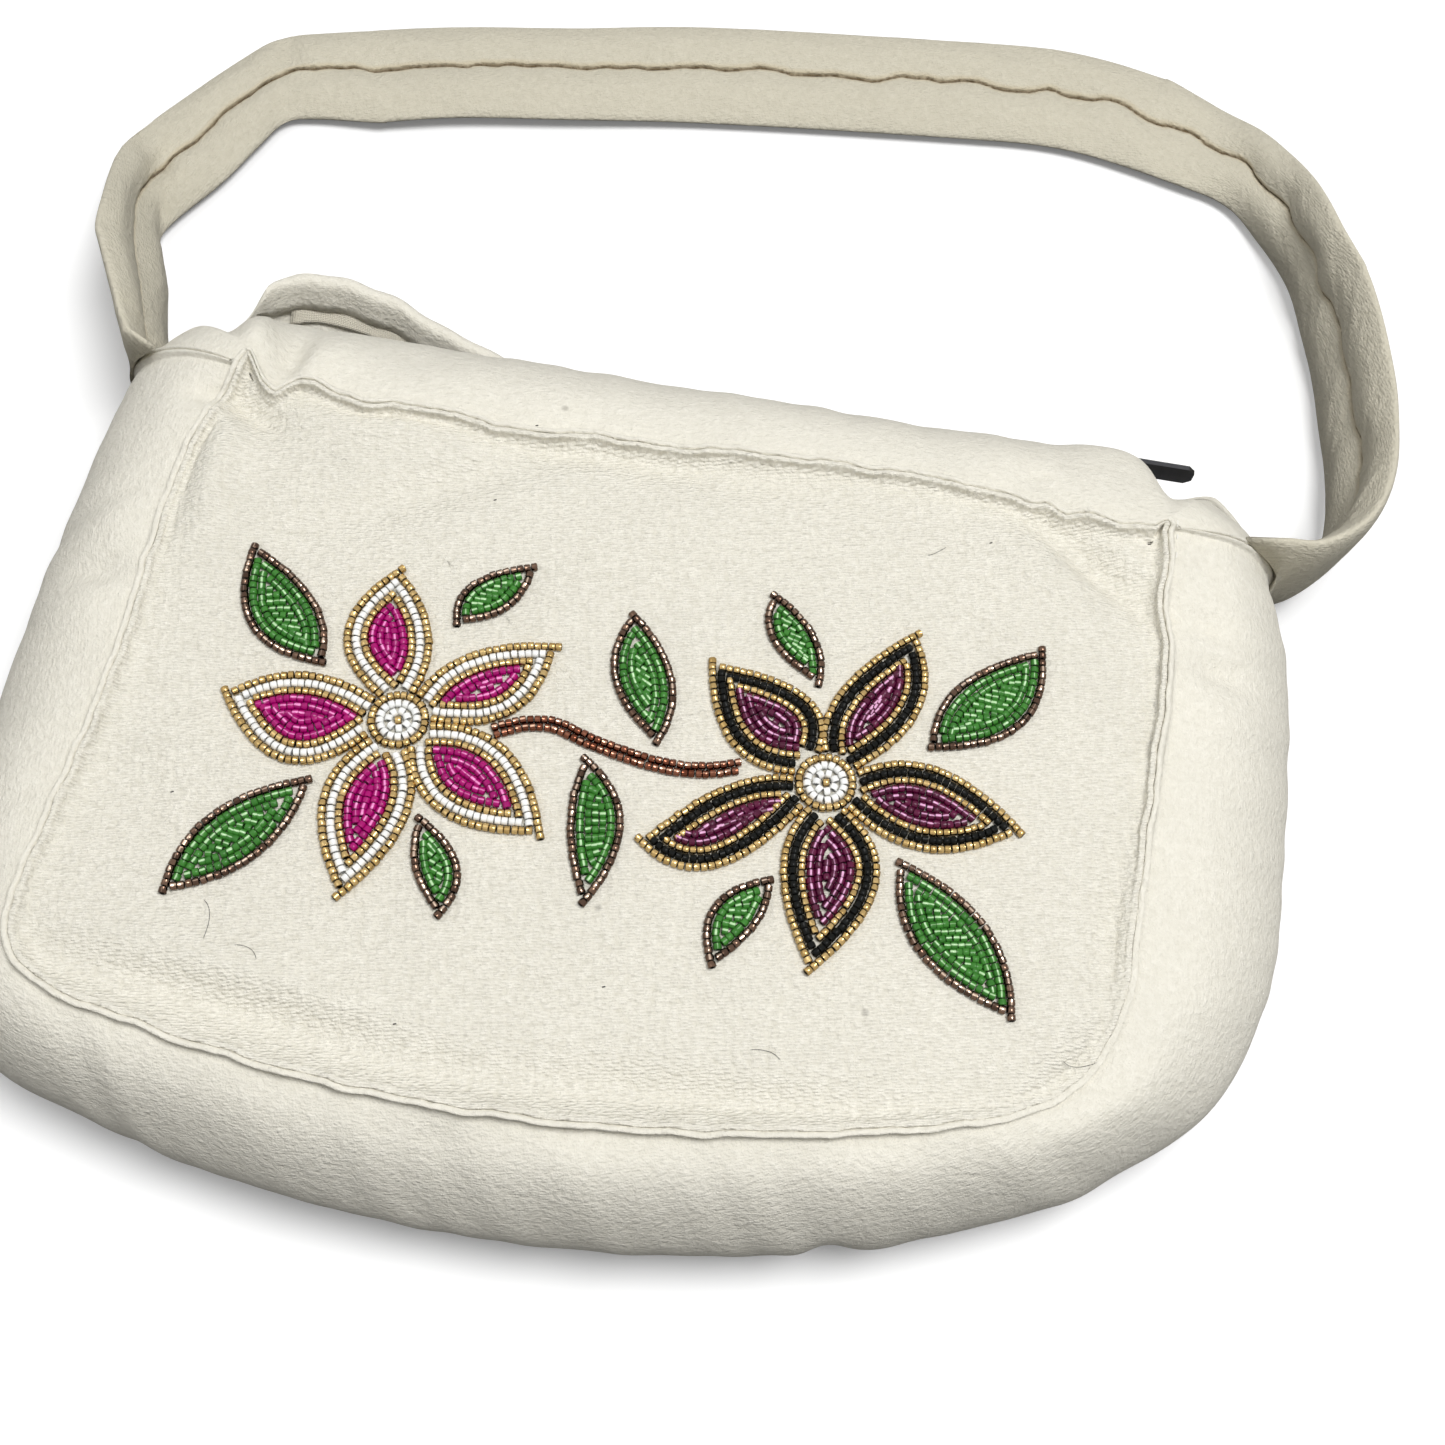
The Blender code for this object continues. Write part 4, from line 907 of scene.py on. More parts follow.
class StageSettings(bpy.types.PropertyGroup):
    """The camera and the lights."""

    azimuth: FloatProperty(
        name="Azimuth", description="Turn of the camera round the bag", default=math.radians(0.76),
        subtype="ANGLE")
    elevation: FloatProperty(
        name="Elevation", description="Angle of the view above the floor", default=math.radians(66.5),
        subtype="ANGLE")
    roll: FloatProperty(
        name="Roll", description="Turn of the picture", default=math.radians(8.52), subtype="ANGLE")
    distance: FloatProperty(
        name="Distance", description="From the camera to the place it aims at", default=0.3673, unit="LENGTH")
    lens: FloatProperty(
        name="Lens", description="Focal length for a 36 mm wide sensor", default=SENSOR * 1900 / 1445,
        unit="CAMERA")
    key_power: FloatProperty(
        name="Soft light", description="Power of the large soft light", default=10.0, unit="POWER")


# Pieces


def wall_parts(seam, places, turns, with_ridge):
    """Middle line of a wall in (outward, height): a ridge, a small round, then the wall curve."""
    reach = seam.place(places)[2][:, None]
    if not with_ridge:
        return wall_curve(turns, reach), turns
    foot = CLOTH / 2 + PLIES_APART
    start = np.arcsin(np.minimum(TOP_RADIUS / reach, 0.5))
    rest = start + (turns - turns[:, :1]) * (turns[:, -1:] - start) / (turns[:, -1:] - turns[:, :1])
    line = wall_curve(rest, reach)
    base = line[:, :1, 1]
    bend = np.linspace(0, math.pi / 2, 7)[:-1]
    corner = np.stack([foot + (line[:, :1, 0] - foot) * (1 - np.cos(bend)),
                       base + TOP_RADIUS * (1 - np.sin(bend))], axis=-1)
    levels = np.linspace(0, 1, 7)[:-1]
    top = BAG_DEPTH + SEAM_RIDGE
    up = np.stack([np.full((len(places), 6), foot), top + (base + TOP_RADIUS - top) * levels], axis=-1)
    none = np.zeros((len(places), up.shape[1] + corner.shape[1]))
    return np.concatenate([up, corner, line], axis=1), np.concatenate([none, rest], axis=1)


def fold_share(x):
    """How far the back strip's zip edge is folded over the coil: whole along the gape, none past its ends."""
    return smoothstep((x - FOLD_START) / FOLD_START_BLEND) * smoothstep((FOLD_END - x) / FOLD_END_BLEND)


def folded_edge(line, share):
    """Both faces of the cloth past a wall's edge, the outer first: up beside the coil, over it and down.

    Where the share is 0 they make the cut edge's half round instead.
    """
    up = line[:, 0] - line[:, 1]
    up /= np.linalg.norm(up, axis=1, keepdims=True)
    inward = left_of(up)
    turn = np.linspace(0, math.pi, 9)
    faces = []
    for offset in (-CLOTH / 2, CLOTH / 2):
        radius = FOLD_RADIUS - offset
        rise = np.concatenate([np.linspace(0.25, 0.75, 3) * FOLD_RISE, FOLD_RISE + radius * np.sin(turn),
                               FOLD_RISE - np.linspace(0.3, 1, 3) * FOLD_LEG])
        aside = np.concatenate([np.full(3, offset), FOLD_RADIUS - radius * np.cos(turn),
                                np.full(3, FOLD_RADIUS + radius)])
        round_off = np.linspace(0, 1, len(rise)) * math.pi / 2 * 0.96
        rise = share[:, None] * rise + (1 - share[:, None]) * 0.35 * np.sin(round_off)
        aside = share[:, None] * aside + (1 - share[:, None]) * offset * np.cos(round_off)
        faces.append(line[:, :1] + rise[..., None] * up[:, None] + aside[..., None] * inward[:, None])
    return faces


def shell(line, round_start, round_end):
    """Both faces of a cloth round its middle line, drawn together over the last steps of a rounded end."""
    way = np.gradient(line, axis=1)
    way /= np.linalg.norm(way, axis=2, keepdims=True)
    side = left_of(way)
    narrow = np.ones(line.shape[1])
    narrow[:2] = (0.45, 0.85) if round_start else 1.0
    narrow[-2:] = (0.85, 0.45) if round_end else 1.0
    aside = side * (CLOTH / 2) * narrow[:, None]
    return np.concatenate([line + aside, (line - aside)[:, ::-1]], axis=1)


def ridge_laid(seam, places, points, wave, seed):
    """Points of the cloth beside the seam, moved with the ridge: leaned, waved, lowered and frayed.

    points are (outward, height); the ridge part is what stands above the panel's face.
    """
    stand, lean = seam.read(places, seam.stand)[:, None], seam.read(places, seam.lean)[:, None]
    along = seam.read(places, seam.length)[:, None]
    above = np.clip((points[..., 1] - BAG_DEPTH) / SEAM_RIDGE, 0.0, 1.2)
    whole = seam.length[-1]
    ripple = 0.4 * waves(along, *RIDGE_RIPPLE, around=whole)
    wander = wave * (waves(along, *RIDGE_WANDER, around=whole) + ripple)
    frayed = 0.08 * waves(along, seed, *RIDGE_FRAY, around=whole)
    frayed = frayed + 0.10 * waves(along, seed + 1, *RIDGE_FRAY_SLOW, around=whole)
    tall = stand * (1 + 0.10 * waves(along, *RIDGE_TALL, around=whole)) + frayed * 0.35
    moved = points.copy()
    moved[..., 0] += (lean * 1.2 + wander) * above**1.4
    moved[..., 1] -= above * SEAM_RIDGE * (1 - np.clip(tall, 0.12, 1.25))
    return moved


def seam_lift(seam, places):
    """How far the panel's relief moves the seam up or down, less its own dive."""
    point, _, _, shift = seam.place(places)
    at = point + shift
    return panel_height(at[:, 0], at[:, 1])[:, None] - SEAM_DIVE


def placed(seam, places, section, follow):
    """Sections of (outward, height) set along the seam. follow is each point's share of the seam's shift."""
    point, normal, _, shift = seam.place(places)
    plan = point[:, None] + section[..., :1] * normal[:, None] + shift[:, None] * follow[..., None]
    return np.concatenate([plan, section[..., 1:]], axis=-1)


def build_front_panel(seam, wave):
    """Rings from the middle of the panel out to the ridge, over it and back underneath to the middle.

    The rings inside the rim are the rim's first ring, averaged round the panel with bell-shaped weights so
    that it never crosses itself in a corner, and drawn in towards the middle.
    """
    places = np.linspace(0, seam.measure[-1], PANEL_STEPS, endpoint=False)
    edge = np.array(PANEL_EDGE)
    section = ridge_laid(seam, places, np.broadcast_to(edge, (len(places), *edge.shape)), wave, 6)
    rim = placed(seam, places, section, np.ones(section.shape[:2]))
    share = (np.linspace(0.012, 1, 56)[:-1] ** 0.93)[None, :, None]
    middle = PANEL_MIDDLE + np.array([0, 0, BAG_DEPTH])
    under = middle - (0, 0, CLOTH)
    apart = np.arange(-EVEN_STEPS, EVEN_STEPS + 1)
    bell = np.exp(-((apart / EVEN_BLUR) ** 2))
    evened = [sum(np.roll(ring, step, axis=0) * weight for step, weight in zip(apart, bell / bell.sum()))
              for ring in (rim[:, :1], rim[:, -1:])]
    top = middle + (evened[0] - middle) * share
    below = (under + (evened[1] - under) * share)[:, ::-1]
    rings = np.concatenate([top, rim, below], axis=1)
    flat = np.zeros(top.shape[1])
    tied = np.concatenate([flat, smoothstep((edge[:, 0] - edge[0, 0]) / 1.4), flat])
    to_rim = np.linalg.norm((rings - rim[:, :1])[..., :2], axis=2) * (tied == 0)
    own = panel_height(rings[..., 0], rings[..., 1]) - SEAM_DIVE * np.exp(-((to_rim / 4.5) ** 2))
    rings[..., 2] += own * (1 - tied) + seam_lift(seam, places) * tied
    return ring_body(rings.transpose(1, 0, 2))


def build_back_panel(seam):
    """Rings from the middle of the back panel to its rounded edge and back."""
    places = np.linspace(0, seam.measure[-1], BACK_STEPS, endpoint=False)
    point, normal, _, _ = seam.place(places)
    along = seam.read(places, seam.length)
    reach = BACK_ALLOWANCE - 0.25 + 0.2 * waves(along, *BACK_EDGE_WAVE, around=seam.length[-1])
    rings = []
    for k, (back, level) in enumerate(BACK_EDGE):
        out = np.full(len(places), back) if k in (0, len(BACK_EDGE) - 1) else reach + back
        out = reach - 1.0 if k == 1 else out
        rings.append(np.column_stack([point + normal * out[:, None], np.full(len(places), level)]))
    rim = np.array(rings)
    middle = np.array(PANEL_MIDDLE)
    shares = np.linspace(0.02, 1, 12)[:-1, None, None]
    bottom = middle + (rim[0] - middle) * shares
    top = middle + (0, 0, CLOTH) + (rim[-1] - middle - (0, 0, CLOTH)) * shares[::-1]
    return ring_body(np.concatenate([bottom, rim, top]))


def build_lint():
    """The loose hairs as thin bowed threads and the specks as very short ones."""
    shape = Shape()
    for x1, y1, x2, y2, bow in HAIRS:
        path = quadratic((x1, y1), ((x1 + x2) / 2 + bow * 0.7, (y1 + y2) / 2 + bow), (x2, y2), 14)
        height = BAG_DEPTH + panel_height(path[:, 0], path[:, 1]) + 0.12
        tube(np.column_stack([path, height]), 0.05, 5, shape)
    for x, y in SPECKS:
        along = np.linspace(-0.3, 0.3, 5)
        height = BAG_DEPTH + panel_height(x + along, y) + 0.08
        tube(np.column_stack([x + along, y + along * 0.4, height]), 0.13, 6, shape)
    return shape


def build_stitches():
    """Short thread ends that lie on the gusset's ply of the ridge."""
    shape = Shape()
    for x1, y1, x2, y2 in STITCHES:
        path = quadratic((x1, y1), ((x1 + x2) / 2 + 0.12, (y1 + y2) / 2), (x2, y2), 8)
        lift = np.sin(np.linspace(0, math.pi, len(path))) * 0.15
        tube(np.column_stack([path, BAG_DEPTH + SEAM_RIDGE * 0.55 + lift]), 0.16, 7, shape)
    return shape


def swells(places, table):
    """Bell-shaped swells and hollows: each row of the table gives a middle, a reach by axis and a height."""
    axes, total = len(places), 0.0
    for row in table:
        away = sum(((at - middle) / reach) ** 2 for at, middle, reach in zip(places, row, row[axes:]))
        total = total + row[-1] * np.exp(-away)
    return total


# Swells and hollows of the gusset and the top strips: place, reach along X, Y and Z, height
WALL_CREASES = (
    (112.0, 30.0, 40.0, 9.0, 3.2, 30.0, -2.2),
    (118.0, 43.0, 38.0, 9.0, 5.0, 30.0, 1.0),
    (110.0, 39.5, 40.0, 5.0, 3.6, 30.0, -1.8),
    (110.0, 20.0, 40.0, 14.0, 5.0, 30.0, 0.9),
    (108.0, 52.0, 42.0, 5.0, 6.0, 30.0, -1.0),
    (-110.0, 13.0, 40.0, 9.0, 3.2, 30.0, -1.6),
    (-112.0, 4.0, 40.0, 12.0, 7.0, 30.0, 0.9),
    (-108.0, 24.0, 40.0, 9.0, 6.0, 30.0, 0.8),
    (-104.0, 50.0, 42.0, 6.0, 7.0, 30.0, 0.8),
    (5.0, -88.0, 38.0, 12.0, 8.0, 30.0, 0.8),
    (-22.0, -86.0, 40.0, 7.0, 6.0, 30.0, -0.9),
    (52.0, -97.0, 14.0, 4.0, 9.0, 8.0, -2.4),
    (62.0, -96.0, 14.0, 5.0, 9.0, 8.0, 1.2),
    (-30.0, -98.0, 15.0, 60.0, 10.0, 4.0, -0.5),
    (105.0, -62.0, 22.0, 9.0, 9.0, 12.0, -1.3),
    (-84.5, 70.0, 44.0, 3.4, 9.0, 30.0, -2.0),
    (-93.0, 71.0, 44.0, 4.0, 8.0, 30.0, 1.2),
    (-76.0, 72.0, 44.0, 5.0, 8.0, 30.0, 0.9),
    (-60.0, 74.0, 44.0, 5.0, 6.0, 30.0, -0.6),
    (72.0, 68.0, 44.0, 4.5, 5.0, 30.0, -1.2),
    (112.0, 82.0, 34.0, 14.0, 12.0, 16.0, -5.4),
    (92.0, 84.0, 34.0, 11.0, 9.0, 11.0, 3.0),
)


def wall_body(seam, places, edges, steps, wave, gapes=False, puff=0.0):
    """A cloth wall between two edges given as turns: middle line, ridge, both faces, folds and the gape."""
    first, last = edges
    point, normal, reach, _ = seam.place(places)
    x = point[:, 0] + normal[:, 0] * reach
    start = turn_at(first(x)) if first else np.zeros(len(places))
    stop = turn_at(last(x)) if last else np.full(len(places), math.pi)
    turns = start[:, None] + (stop - start)[:, None] * np.linspace(0, 1, steps)
    line, rest = wall_parts(seam, places, turns, first is None)
    line[..., 1] += puff * np.sin(np.clip(rest / 1.15, 0, 1) * math.pi) ** 2
    section = shell(line, first is None, last is not None)
    down = np.cumsum(np.linalg.norm(np.diff(line, axis=1, prepend=line[:, :1]), axis=2), axis=1)
    if gapes:
        folded = fold_share(x)
        outer, inner = folded_edge(line, folded)
        section = np.concatenate([outer[:, ::-1], section, inner], axis=1)
        rest = np.concatenate([np.repeat(rest[:, :1], outer.shape[1], axis=1), rest], axis=1)
        down = np.concatenate([-np.arange(outer.shape[1], 0, -1) * np.ones_like(down[:, :1]), down], axis=1)
    half = rest.shape[1]
    both = np.concatenate([rest, rest[:, ::-1]], axis=1)
    if first is None:
        section = ridge_laid(seam, places, section, wave, 8)
    follow = 1 - smoothstep(both / 1.25)
    points = placed(seam, places, section, follow)
    points[..., 2] += seam_lift(seam, places) * (1 - smoothstep(both / 0.5))
    thin = section[:, :half] - section[:, half:][:, ::-1]
    thin /= np.linalg.norm(thin, axis=2, keepdims=True)
    out = np.concatenate([thin[..., :1] * normal[:, None], thin[..., 1:]], axis=-1)
    out = np.concatenate([out, out[:, ::-1]], axis=1)
    calm = smoothstep(both / 0.35) * smoothstep((math.pi - both) / 0.5)
    amount = swells(np.moveaxis(points, -1, 0), WALL_CREASES)
    along, whole = seam.read(places, seam.length)[:, None], seam.length[-1]
    amount = amount + 0.30 * waves(along, *WALL_SLOW, around=whole) * np.sin(both * 2)
    amount = amount + 0.15 * waves(along + both * 9, *WALL_QUICK, around=whole)
    if gapes:
        calm = calm * smoothstep((both - start[:, None]) / 0.3)
        opens = mouth_share(both, start[:, None])
        wander = 0.35 * waves(along, *MOUTH_WAVE, around=whole) * folded[:, None] * opens
        points[..., :2] += normal[:, None] * wander[..., None]
    points = points + out * (amount * calm)[..., None]
    if gapes:
        points = opened(points, opens)
    u = np.broadcast_to(along + whole * np.floor(places / seam.measure[-1])[:, None], both.shape)
    v = np.concatenate([down, down[:, ::-1]], axis=1)
    return points, np.stack([u, v], axis=-1) / 100, out


def with_fins(points, out):
    """Turns the seam allowance at both ends outward: the outer face rises over the last bit of the wall."""
    half = points.shape[1] // 2
    away = out[:, :half]
    seams = smoothstep(np.sin(np.linspace(0.02, math.pi - 0.02, half)) * 2.2)
    floor = smoothstep(1 + away[..., 2] * 2)
    for end, step in ((0, 1), (-1, -1)):
        travelled = 0.0
        for k in range(14):
            here, there = end + step * k, end + step * (k + 1)
            rise = CORNER_FIN * float(1 - smoothstep(np.array((travelled - CLOTH * 0.8) / FIN_BLEND)))
            edge = 0.75 if k == 0 else 1.0
            points[here, :half] += away[here] * (rise * edge * seams * floor[here])[:, None]
            travelled += float(np.linalg.norm(points[there, half:] - points[here, half:], axis=1).max())
            if travelled > CLOTH * 2.2:
                break
    return points


def end_packed(start, stop, count):
    """Places from start to stop with a few close ones at both ends, where the seam allowance turns."""
    near = np.arange(9) * 0.28
    middle = np.linspace(start + near[-1] + 1, stop - near[-1] - 1, count)
    return np.concatenate([start + near, middle, stop - near[::-1]])


def strap_ends(seam, angle, outward_side, shape):
    """The strap's end section, which follows the wall at a corner seam."""
    corner = seam.at_angle(angle)
    point, normal, _, _ = (value[0] for value in seam.place(np.array([corner])))
    along = left_of(normal[None])[0]
    shape = shape * (1, outward_side)
    heights = STRAP_END_HEIGHT + shape[:, 0]
    near_places = corner + np.linspace(-STRAP_THICK, STRAP_THICK, 9)
    near, facing, reach, _ = seam.place(near_places)
    out, aside = [], []
    for base, way, bulge in zip(near, facing, reach):
        wall = wall_curve(np.linspace(0, math.pi, 60), bulge)
        outside = (wall + left_of(directions(wall)) * (CLOTH / 2 + CORNER_FIN + SEWN_GAP))[::-1]
        surface = base + np.interp(heights, outside[:, 1], outside[:, 0])[:, None] * way - point
        out.append(surface @ normal)
        aside.append(surface @ along)
    out, aside = np.array(out), np.array(aside)
    start = []
    for column, through in enumerate(shape[:, 1]):
        order = np.argsort(aside[:, column])
        start.append(np.interp(through, aside[order, column], out[order, column]))
    plan = point + np.array(start)[:, None] * normal + shape[:, 1:] * along
    return np.column_stack([plan, heights])


def strap_route(left, right):
    """The strap's middle line in fine steps, with the share by which its outer edge is raised."""
    route = []
    for end, places in ((left, STRAP_FROM_LEFT), (right, STRAP_FROM_RIGHT)):
        for along, up, lift, edge in places:
            stand = math.pi / 2 * edge
            half_height = STRAP_WIDTH / 2 * abs(math.sin(stand)) + STRAP_THICK / 2 * abs(math.cos(stand))
            route.append((end[0] + along, end[1] + up, lift + half_height, edge))
    return smooth_through([(*left, 1.0), *route, (*right, 1.0)], STRAP_SPACING)


# Folds of the strap: length from its left end, offset from its middle, reach along and across, height
STRAP_FOLDS = (
    (118.5, 9.0, 3.0, 5.5, -1.9),
    (117.0, -8.5, 3.2, 5.5, -1.5),
    (123.5, 1.0, 5.0, 3.0, 1.1),
    (111.0, 8.0, 5.0, 6.0, 0.7),
    (126.0, -8.0, 5.0, 5.0, 0.6),
    (77.0, 1.5, 3.4, 5.0, -1.7),
    (74.0, 11.0, 3.0, 5.0, -1.6),
    (70.0, -9.0, 3.0, 4.5, -1.5),
    (66.0, 7.0, 5.0, 5.0, 0.9),
    (84.0, -5.0, 5.0, 7.0, 0.7),
    (40.0, 11.0, 20.0, 3.0, 0.9),
    (40.0, -2.0, 18.0, 5.0, -1.0),
    (403.0, 1.0, 3.5, 5.0, -1.1),
    (413.0, -7.0, 4.0, 5.0, -1.0),
    (384.0, 6.0, 4.0, 6.0, -0.8),
    (349.0, -6.0, 14.0, 5.0, -0.6),
    (459.0, 3.0, 6.0, 6.0, -0.9),
    (479.0, -6.0, 7.0, 5.0, -0.9),
)


def strap_edges(left, right):
    """The strap's inner and outer edge in fine steps, from its route, with its kinks and its turn put in."""
    path = strap_route(left, right)
    edge = math.pi / 2 * path[:, 3:]
    half = np.hstack([left_of(directions(path[:, :2])) * np.cos(edge), np.sin(edge)]) * STRAP_WIDTH / 2
    edges = np.hstack([path[:, :3] - half, path[:, :3] + half])
    length = lengths_along(path[:, :3])
    before, middle = edges[length < KINKS_START], edges[(length > KINKS_END) & (length < TURN_START)]
    after = edges[length > TURN_END]
    kinks = smooth_through([*before[-2:], *STRAP_KINKS, *middle[:2]], STRAP_SPACING)
    turn = smooth_through([*middle[-2:], *STRAP_TURN, *after[:2]], STRAP_SPACING)
    return np.vstack([before[:-2], kinks, middle[2:-2], turn, after[2:]])


def strap_outline():
    """Places across the strap from -1 to 1, closer together at the edges and where the seam wanders."""
    grid = np.linspace(-1, 1, 2001)
    crowding = 1 / np.sqrt(1.03 - grid**2) + 2.4 * np.exp(-(((grid * STRAP_WIDTH / 2 - 1.0) / 3.0) ** 2))
    place = np.concatenate([[0.0], np.cumsum((crowding[1:] + crowding[:-1]) / 2)])
    across = np.interp(np.linspace(0, place[-1], 65), place, grid)
    across[[0, -1]] = -1.0, 1.0
    face = STRAP_THICK / 2 * (1 - np.abs(across) ** 3.2) ** 0.5
    face[[0, -1]] = 0.12
    wide = across * STRAP_WIDTH / 2
    return np.vstack([np.column_stack([wide, face]), np.column_stack([wide, -face])[::-1]])


def build_strap(seam):
    """The strap's section carried along its route: two soft rolls that meet in a wandering lapped seam."""
    shape = strap_outline()
    left = strap_ends(seam, LEFT_END_ANGLE - WHOLE_TURN, 1, shape)
    right = strap_ends(seam, RIGHT_END_ANGLE, -1, shape)
    edges = strap_edges(left.mean(axis=0), right.mean(axis=0))
    path, rows = (edges[:, :3] + edges[:, 3:]) / 2, (edges[:, 3:] - edges[:, :3]) / STRAP_WIDTH
    through = np.cross(rows, directions(path))
    through /= np.linalg.norm(through, axis=1, keepdims=True)
    length = lengths_along(path)[:, None]
    a, t = shape[None, :, 0], shape[None, :, 1]
    upper = t < 0
    seam_at = 1.0 + 0.8 * waves(length, *STRAP_SEAM_SLOW) + 0.22 * waves(length, *STRAP_SEAM_QUICK)
    from_seam = a - seam_at
    rolls = 0.75 * np.exp(-(((from_seam - 7.2) / 4.2) ** 2))
    rolls = rolls + 0.75 * np.exp(-(((from_seam + 7.6) / 4.6) ** 2))
    groove = 0.9 * np.exp(-((from_seam / 2.4) ** 2)) + 0.5 * np.exp(-((from_seam / 0.5) ** 2))
    lap = 0.5 * smoothstep(from_seam / 0.5) * np.exp(-((from_seam / 2.8) ** 2))
    inside = 1 - (np.abs(a) / (STRAP_WIDTH / 2)) ** 4
    soft = 0.3 * waves(length + a * 0.8, *STRAP_SOFT) * inside
    soft = soft + 0.12 * waves(length + a * 1.7, *STRAP_FINE) * inside
    ends = smoothstep(length / STRAP_BLEND) * smoothstep((length[-1] - length) / STRAP_BLEND)
    depth = (rolls - groove + lap + swells((length, a), STRAP_FOLDS) + soft) * ends
    t = t + np.where(upper, -depth, 0.3 * soft * ends)
    body = path[:, None] + a[..., None] * rows[:, None] + t[..., None] * through[:, None]
    body[0], body[-1] = left, right
    cut = np.stack(np.broadcast_arrays(length + 0 * t, a), axis=-1)
    # The seam value is the distance from the lapped seam, which the strap's finish uses for the painted shade
    # in and beside its groove.
    return ladder_body(body, cut / 100, seam=np.where(upper, from_seam, 50.0))


def moved_sides(sides, inset):
    """Both sides of a petal or leaf moved inward, with the width that is left between them."""
    left, right = sides
    ribs = left - right
    across = ribs / np.maximum(np.linalg.norm(ribs, axis=1, keepdims=True), 1e-6)
    left = left - left_of(directions(left)) * inset
    right = right + left_of(directions(right)) * inset
    return left, right, np.einsum("ij,ij->i", left - right, across)


def open_span(width, allowed):
    """The run of places round the widest one where the width is above nothing and the place is allowed."""
    shut = np.flatnonzero((width <= 0.02) | ~allowed)
    widest = int(np.argmax(width * allowed))
    return shut[shut < widest].max(initial=-1) + 1, shut[shut > widest].min(initial=len(width))


def run_on(path, distance):
    """The path with a straight piece added at its end, or cut back where the distance is below nothing."""
    if distance < 0:
        length = lengths_along(path)
        return read_along(path, np.linspace(0, max(length[-1] + distance, 0.1), len(path)))
    return np.vstack([path, path[-1] + directions(path)[-1] * distance])


def clear_of(path, other, distance):
    """The part of a path that keeps this far from another path."""
    apart = np.sqrt(((path[:, None] - other[None]) ** 2).sum(-1)).min(1)
    kept = path[apart >= distance]
    return kept if len(kept) > 2 else None


def beads_along(path, pitch):
    """Bead middles and directions, spaced evenly so that a whole number fills the path."""
    length = lengths_along(path)
    count = max(1, int(round(length[-1] / pitch + 0.2)))
    at = (np.arange(count) + 0.5) * length[-1] / count
    middle = read_along(path, at)
    ahead = read_along(path, np.minimum(at + 0.3, length[-1])) - read_along(path, np.maximum(at - 0.3, 0))
    return np.column_stack([middle, ahead / np.linalg.norm(ahead, axis=1, keepdims=True)])


def pair_of_rows(sides, inset, allowed, pitch, past=(0.5, 0.5), leader=0):
    """Two rows that meet at the ends: the leading one runs on past them, the other stops against it.

    past is how far it runs on at its start and its end, in beads. A start of None stays open.
    """
    left, right, width = moved_sides(sides, inset)
    start, end = open_span(width, allowed(left, right))
    if end - start < 4:
        return []
    rows = [left[start:end], right[start:end]]
    lead = run_on(rows[leader], past[1] * pitch)
    if past[0] is not None:
        lead = run_on(lead[::-1], past[0] * pitch)[::-1]
    other = clear_of(rows[1 - leader], lead, ROWS_CLEAR)
    rows = [beads_along(lead, pitch)]
    if other is not None:
        rows.append(beads_along(other, pitch))
    return rows


def middle_row(sides, inset, allowed, pitch):
    """One row down the middle of what the last pair leaves, where it is wide enough for a bead."""
    left, right, width = moved_sides(sides, inset)
    start, end = open_span(width - BEAD_ROW * 0.3, allowed(left, right))
    if end - start < 4:
        return []
    path = ((left + right) / 2)[start:end]
    return [beads_along(path, pitch)] if lengths_along(path)[-1] > pitch * 0.7 else []


def petal_sides(petals, k):
    """Both outer sides of one petal, from the ring to its tip."""
    tip, left, right = petals[k]
    tips = [petals[j % len(petals)][0] for j in (k - 1, k, k + 1)]
    before, own, after = (math.atan2(y, x) for x, y in tips)
    to_left = own + (before - own) % WHOLE_TURN / 2
    to_right = own - (own - after) % WHOLE_TURN / 2
    base = [(RING_RADIUS * math.cos(turn), RING_RADIUS * math.sin(turn)) for turn in (to_left, to_right)]
    return quadratic(base[0], left, tip, PETAL_STEPS), quadratic(base[1], right, tip, PETAL_STEPS)


def ring_of_beads(radius, pitch, turn=0.0):
    """Beads round a circle, each along it."""
    count = max(3, int(round(2 * math.pi * radius / pitch)))
    angle = np.arange(count) * 2 * math.pi / count + turn
    return np.column_stack([radius * np.cos(angle), radius * np.sin(angle), -np.sin(angle), np.cos(angle)])


def petal_beads(sides, pitch):
    """Rows of one petal: gold outside, band, gold inside, then nested rows of the fill and a middle line."""
    def outside_ring(left, right):
        nearer = np.minimum(np.linalg.norm(left, axis=1), np.linalg.norm(right, axis=1))
        return nearer >= RING_RADIUS + 0.05

    gold = pair_of_rows(sides, BEAD_ROW * 0.5, outside_ring, pitch, (None, 1.5))
    band = pair_of_rows(sides, BEAD_ROW * 1.5, outside_ring, pitch, (None, 0.7))
    gold += pair_of_rows(sides, BEAD_ROW * 2.5, outside_ring, pitch, (0.6, 0.6))
    space = moved_sides(sides, BEAD_ROW * 3)[2].max()
    count = max(1, math.ceil(space / BEAD_ROW - 0.2))
    fill = []
    for k in range(count // 2):
        fill += pair_of_rows(sides, BEAD_ROW * 3 + space / count * (k + 0.5), outside_ring, pitch)
    if count % 2:
        fill += middle_row(sides, BEAD_ROW * 3 + space / count * (count // 2), outside_ring, pitch)
    return gold, band, fill


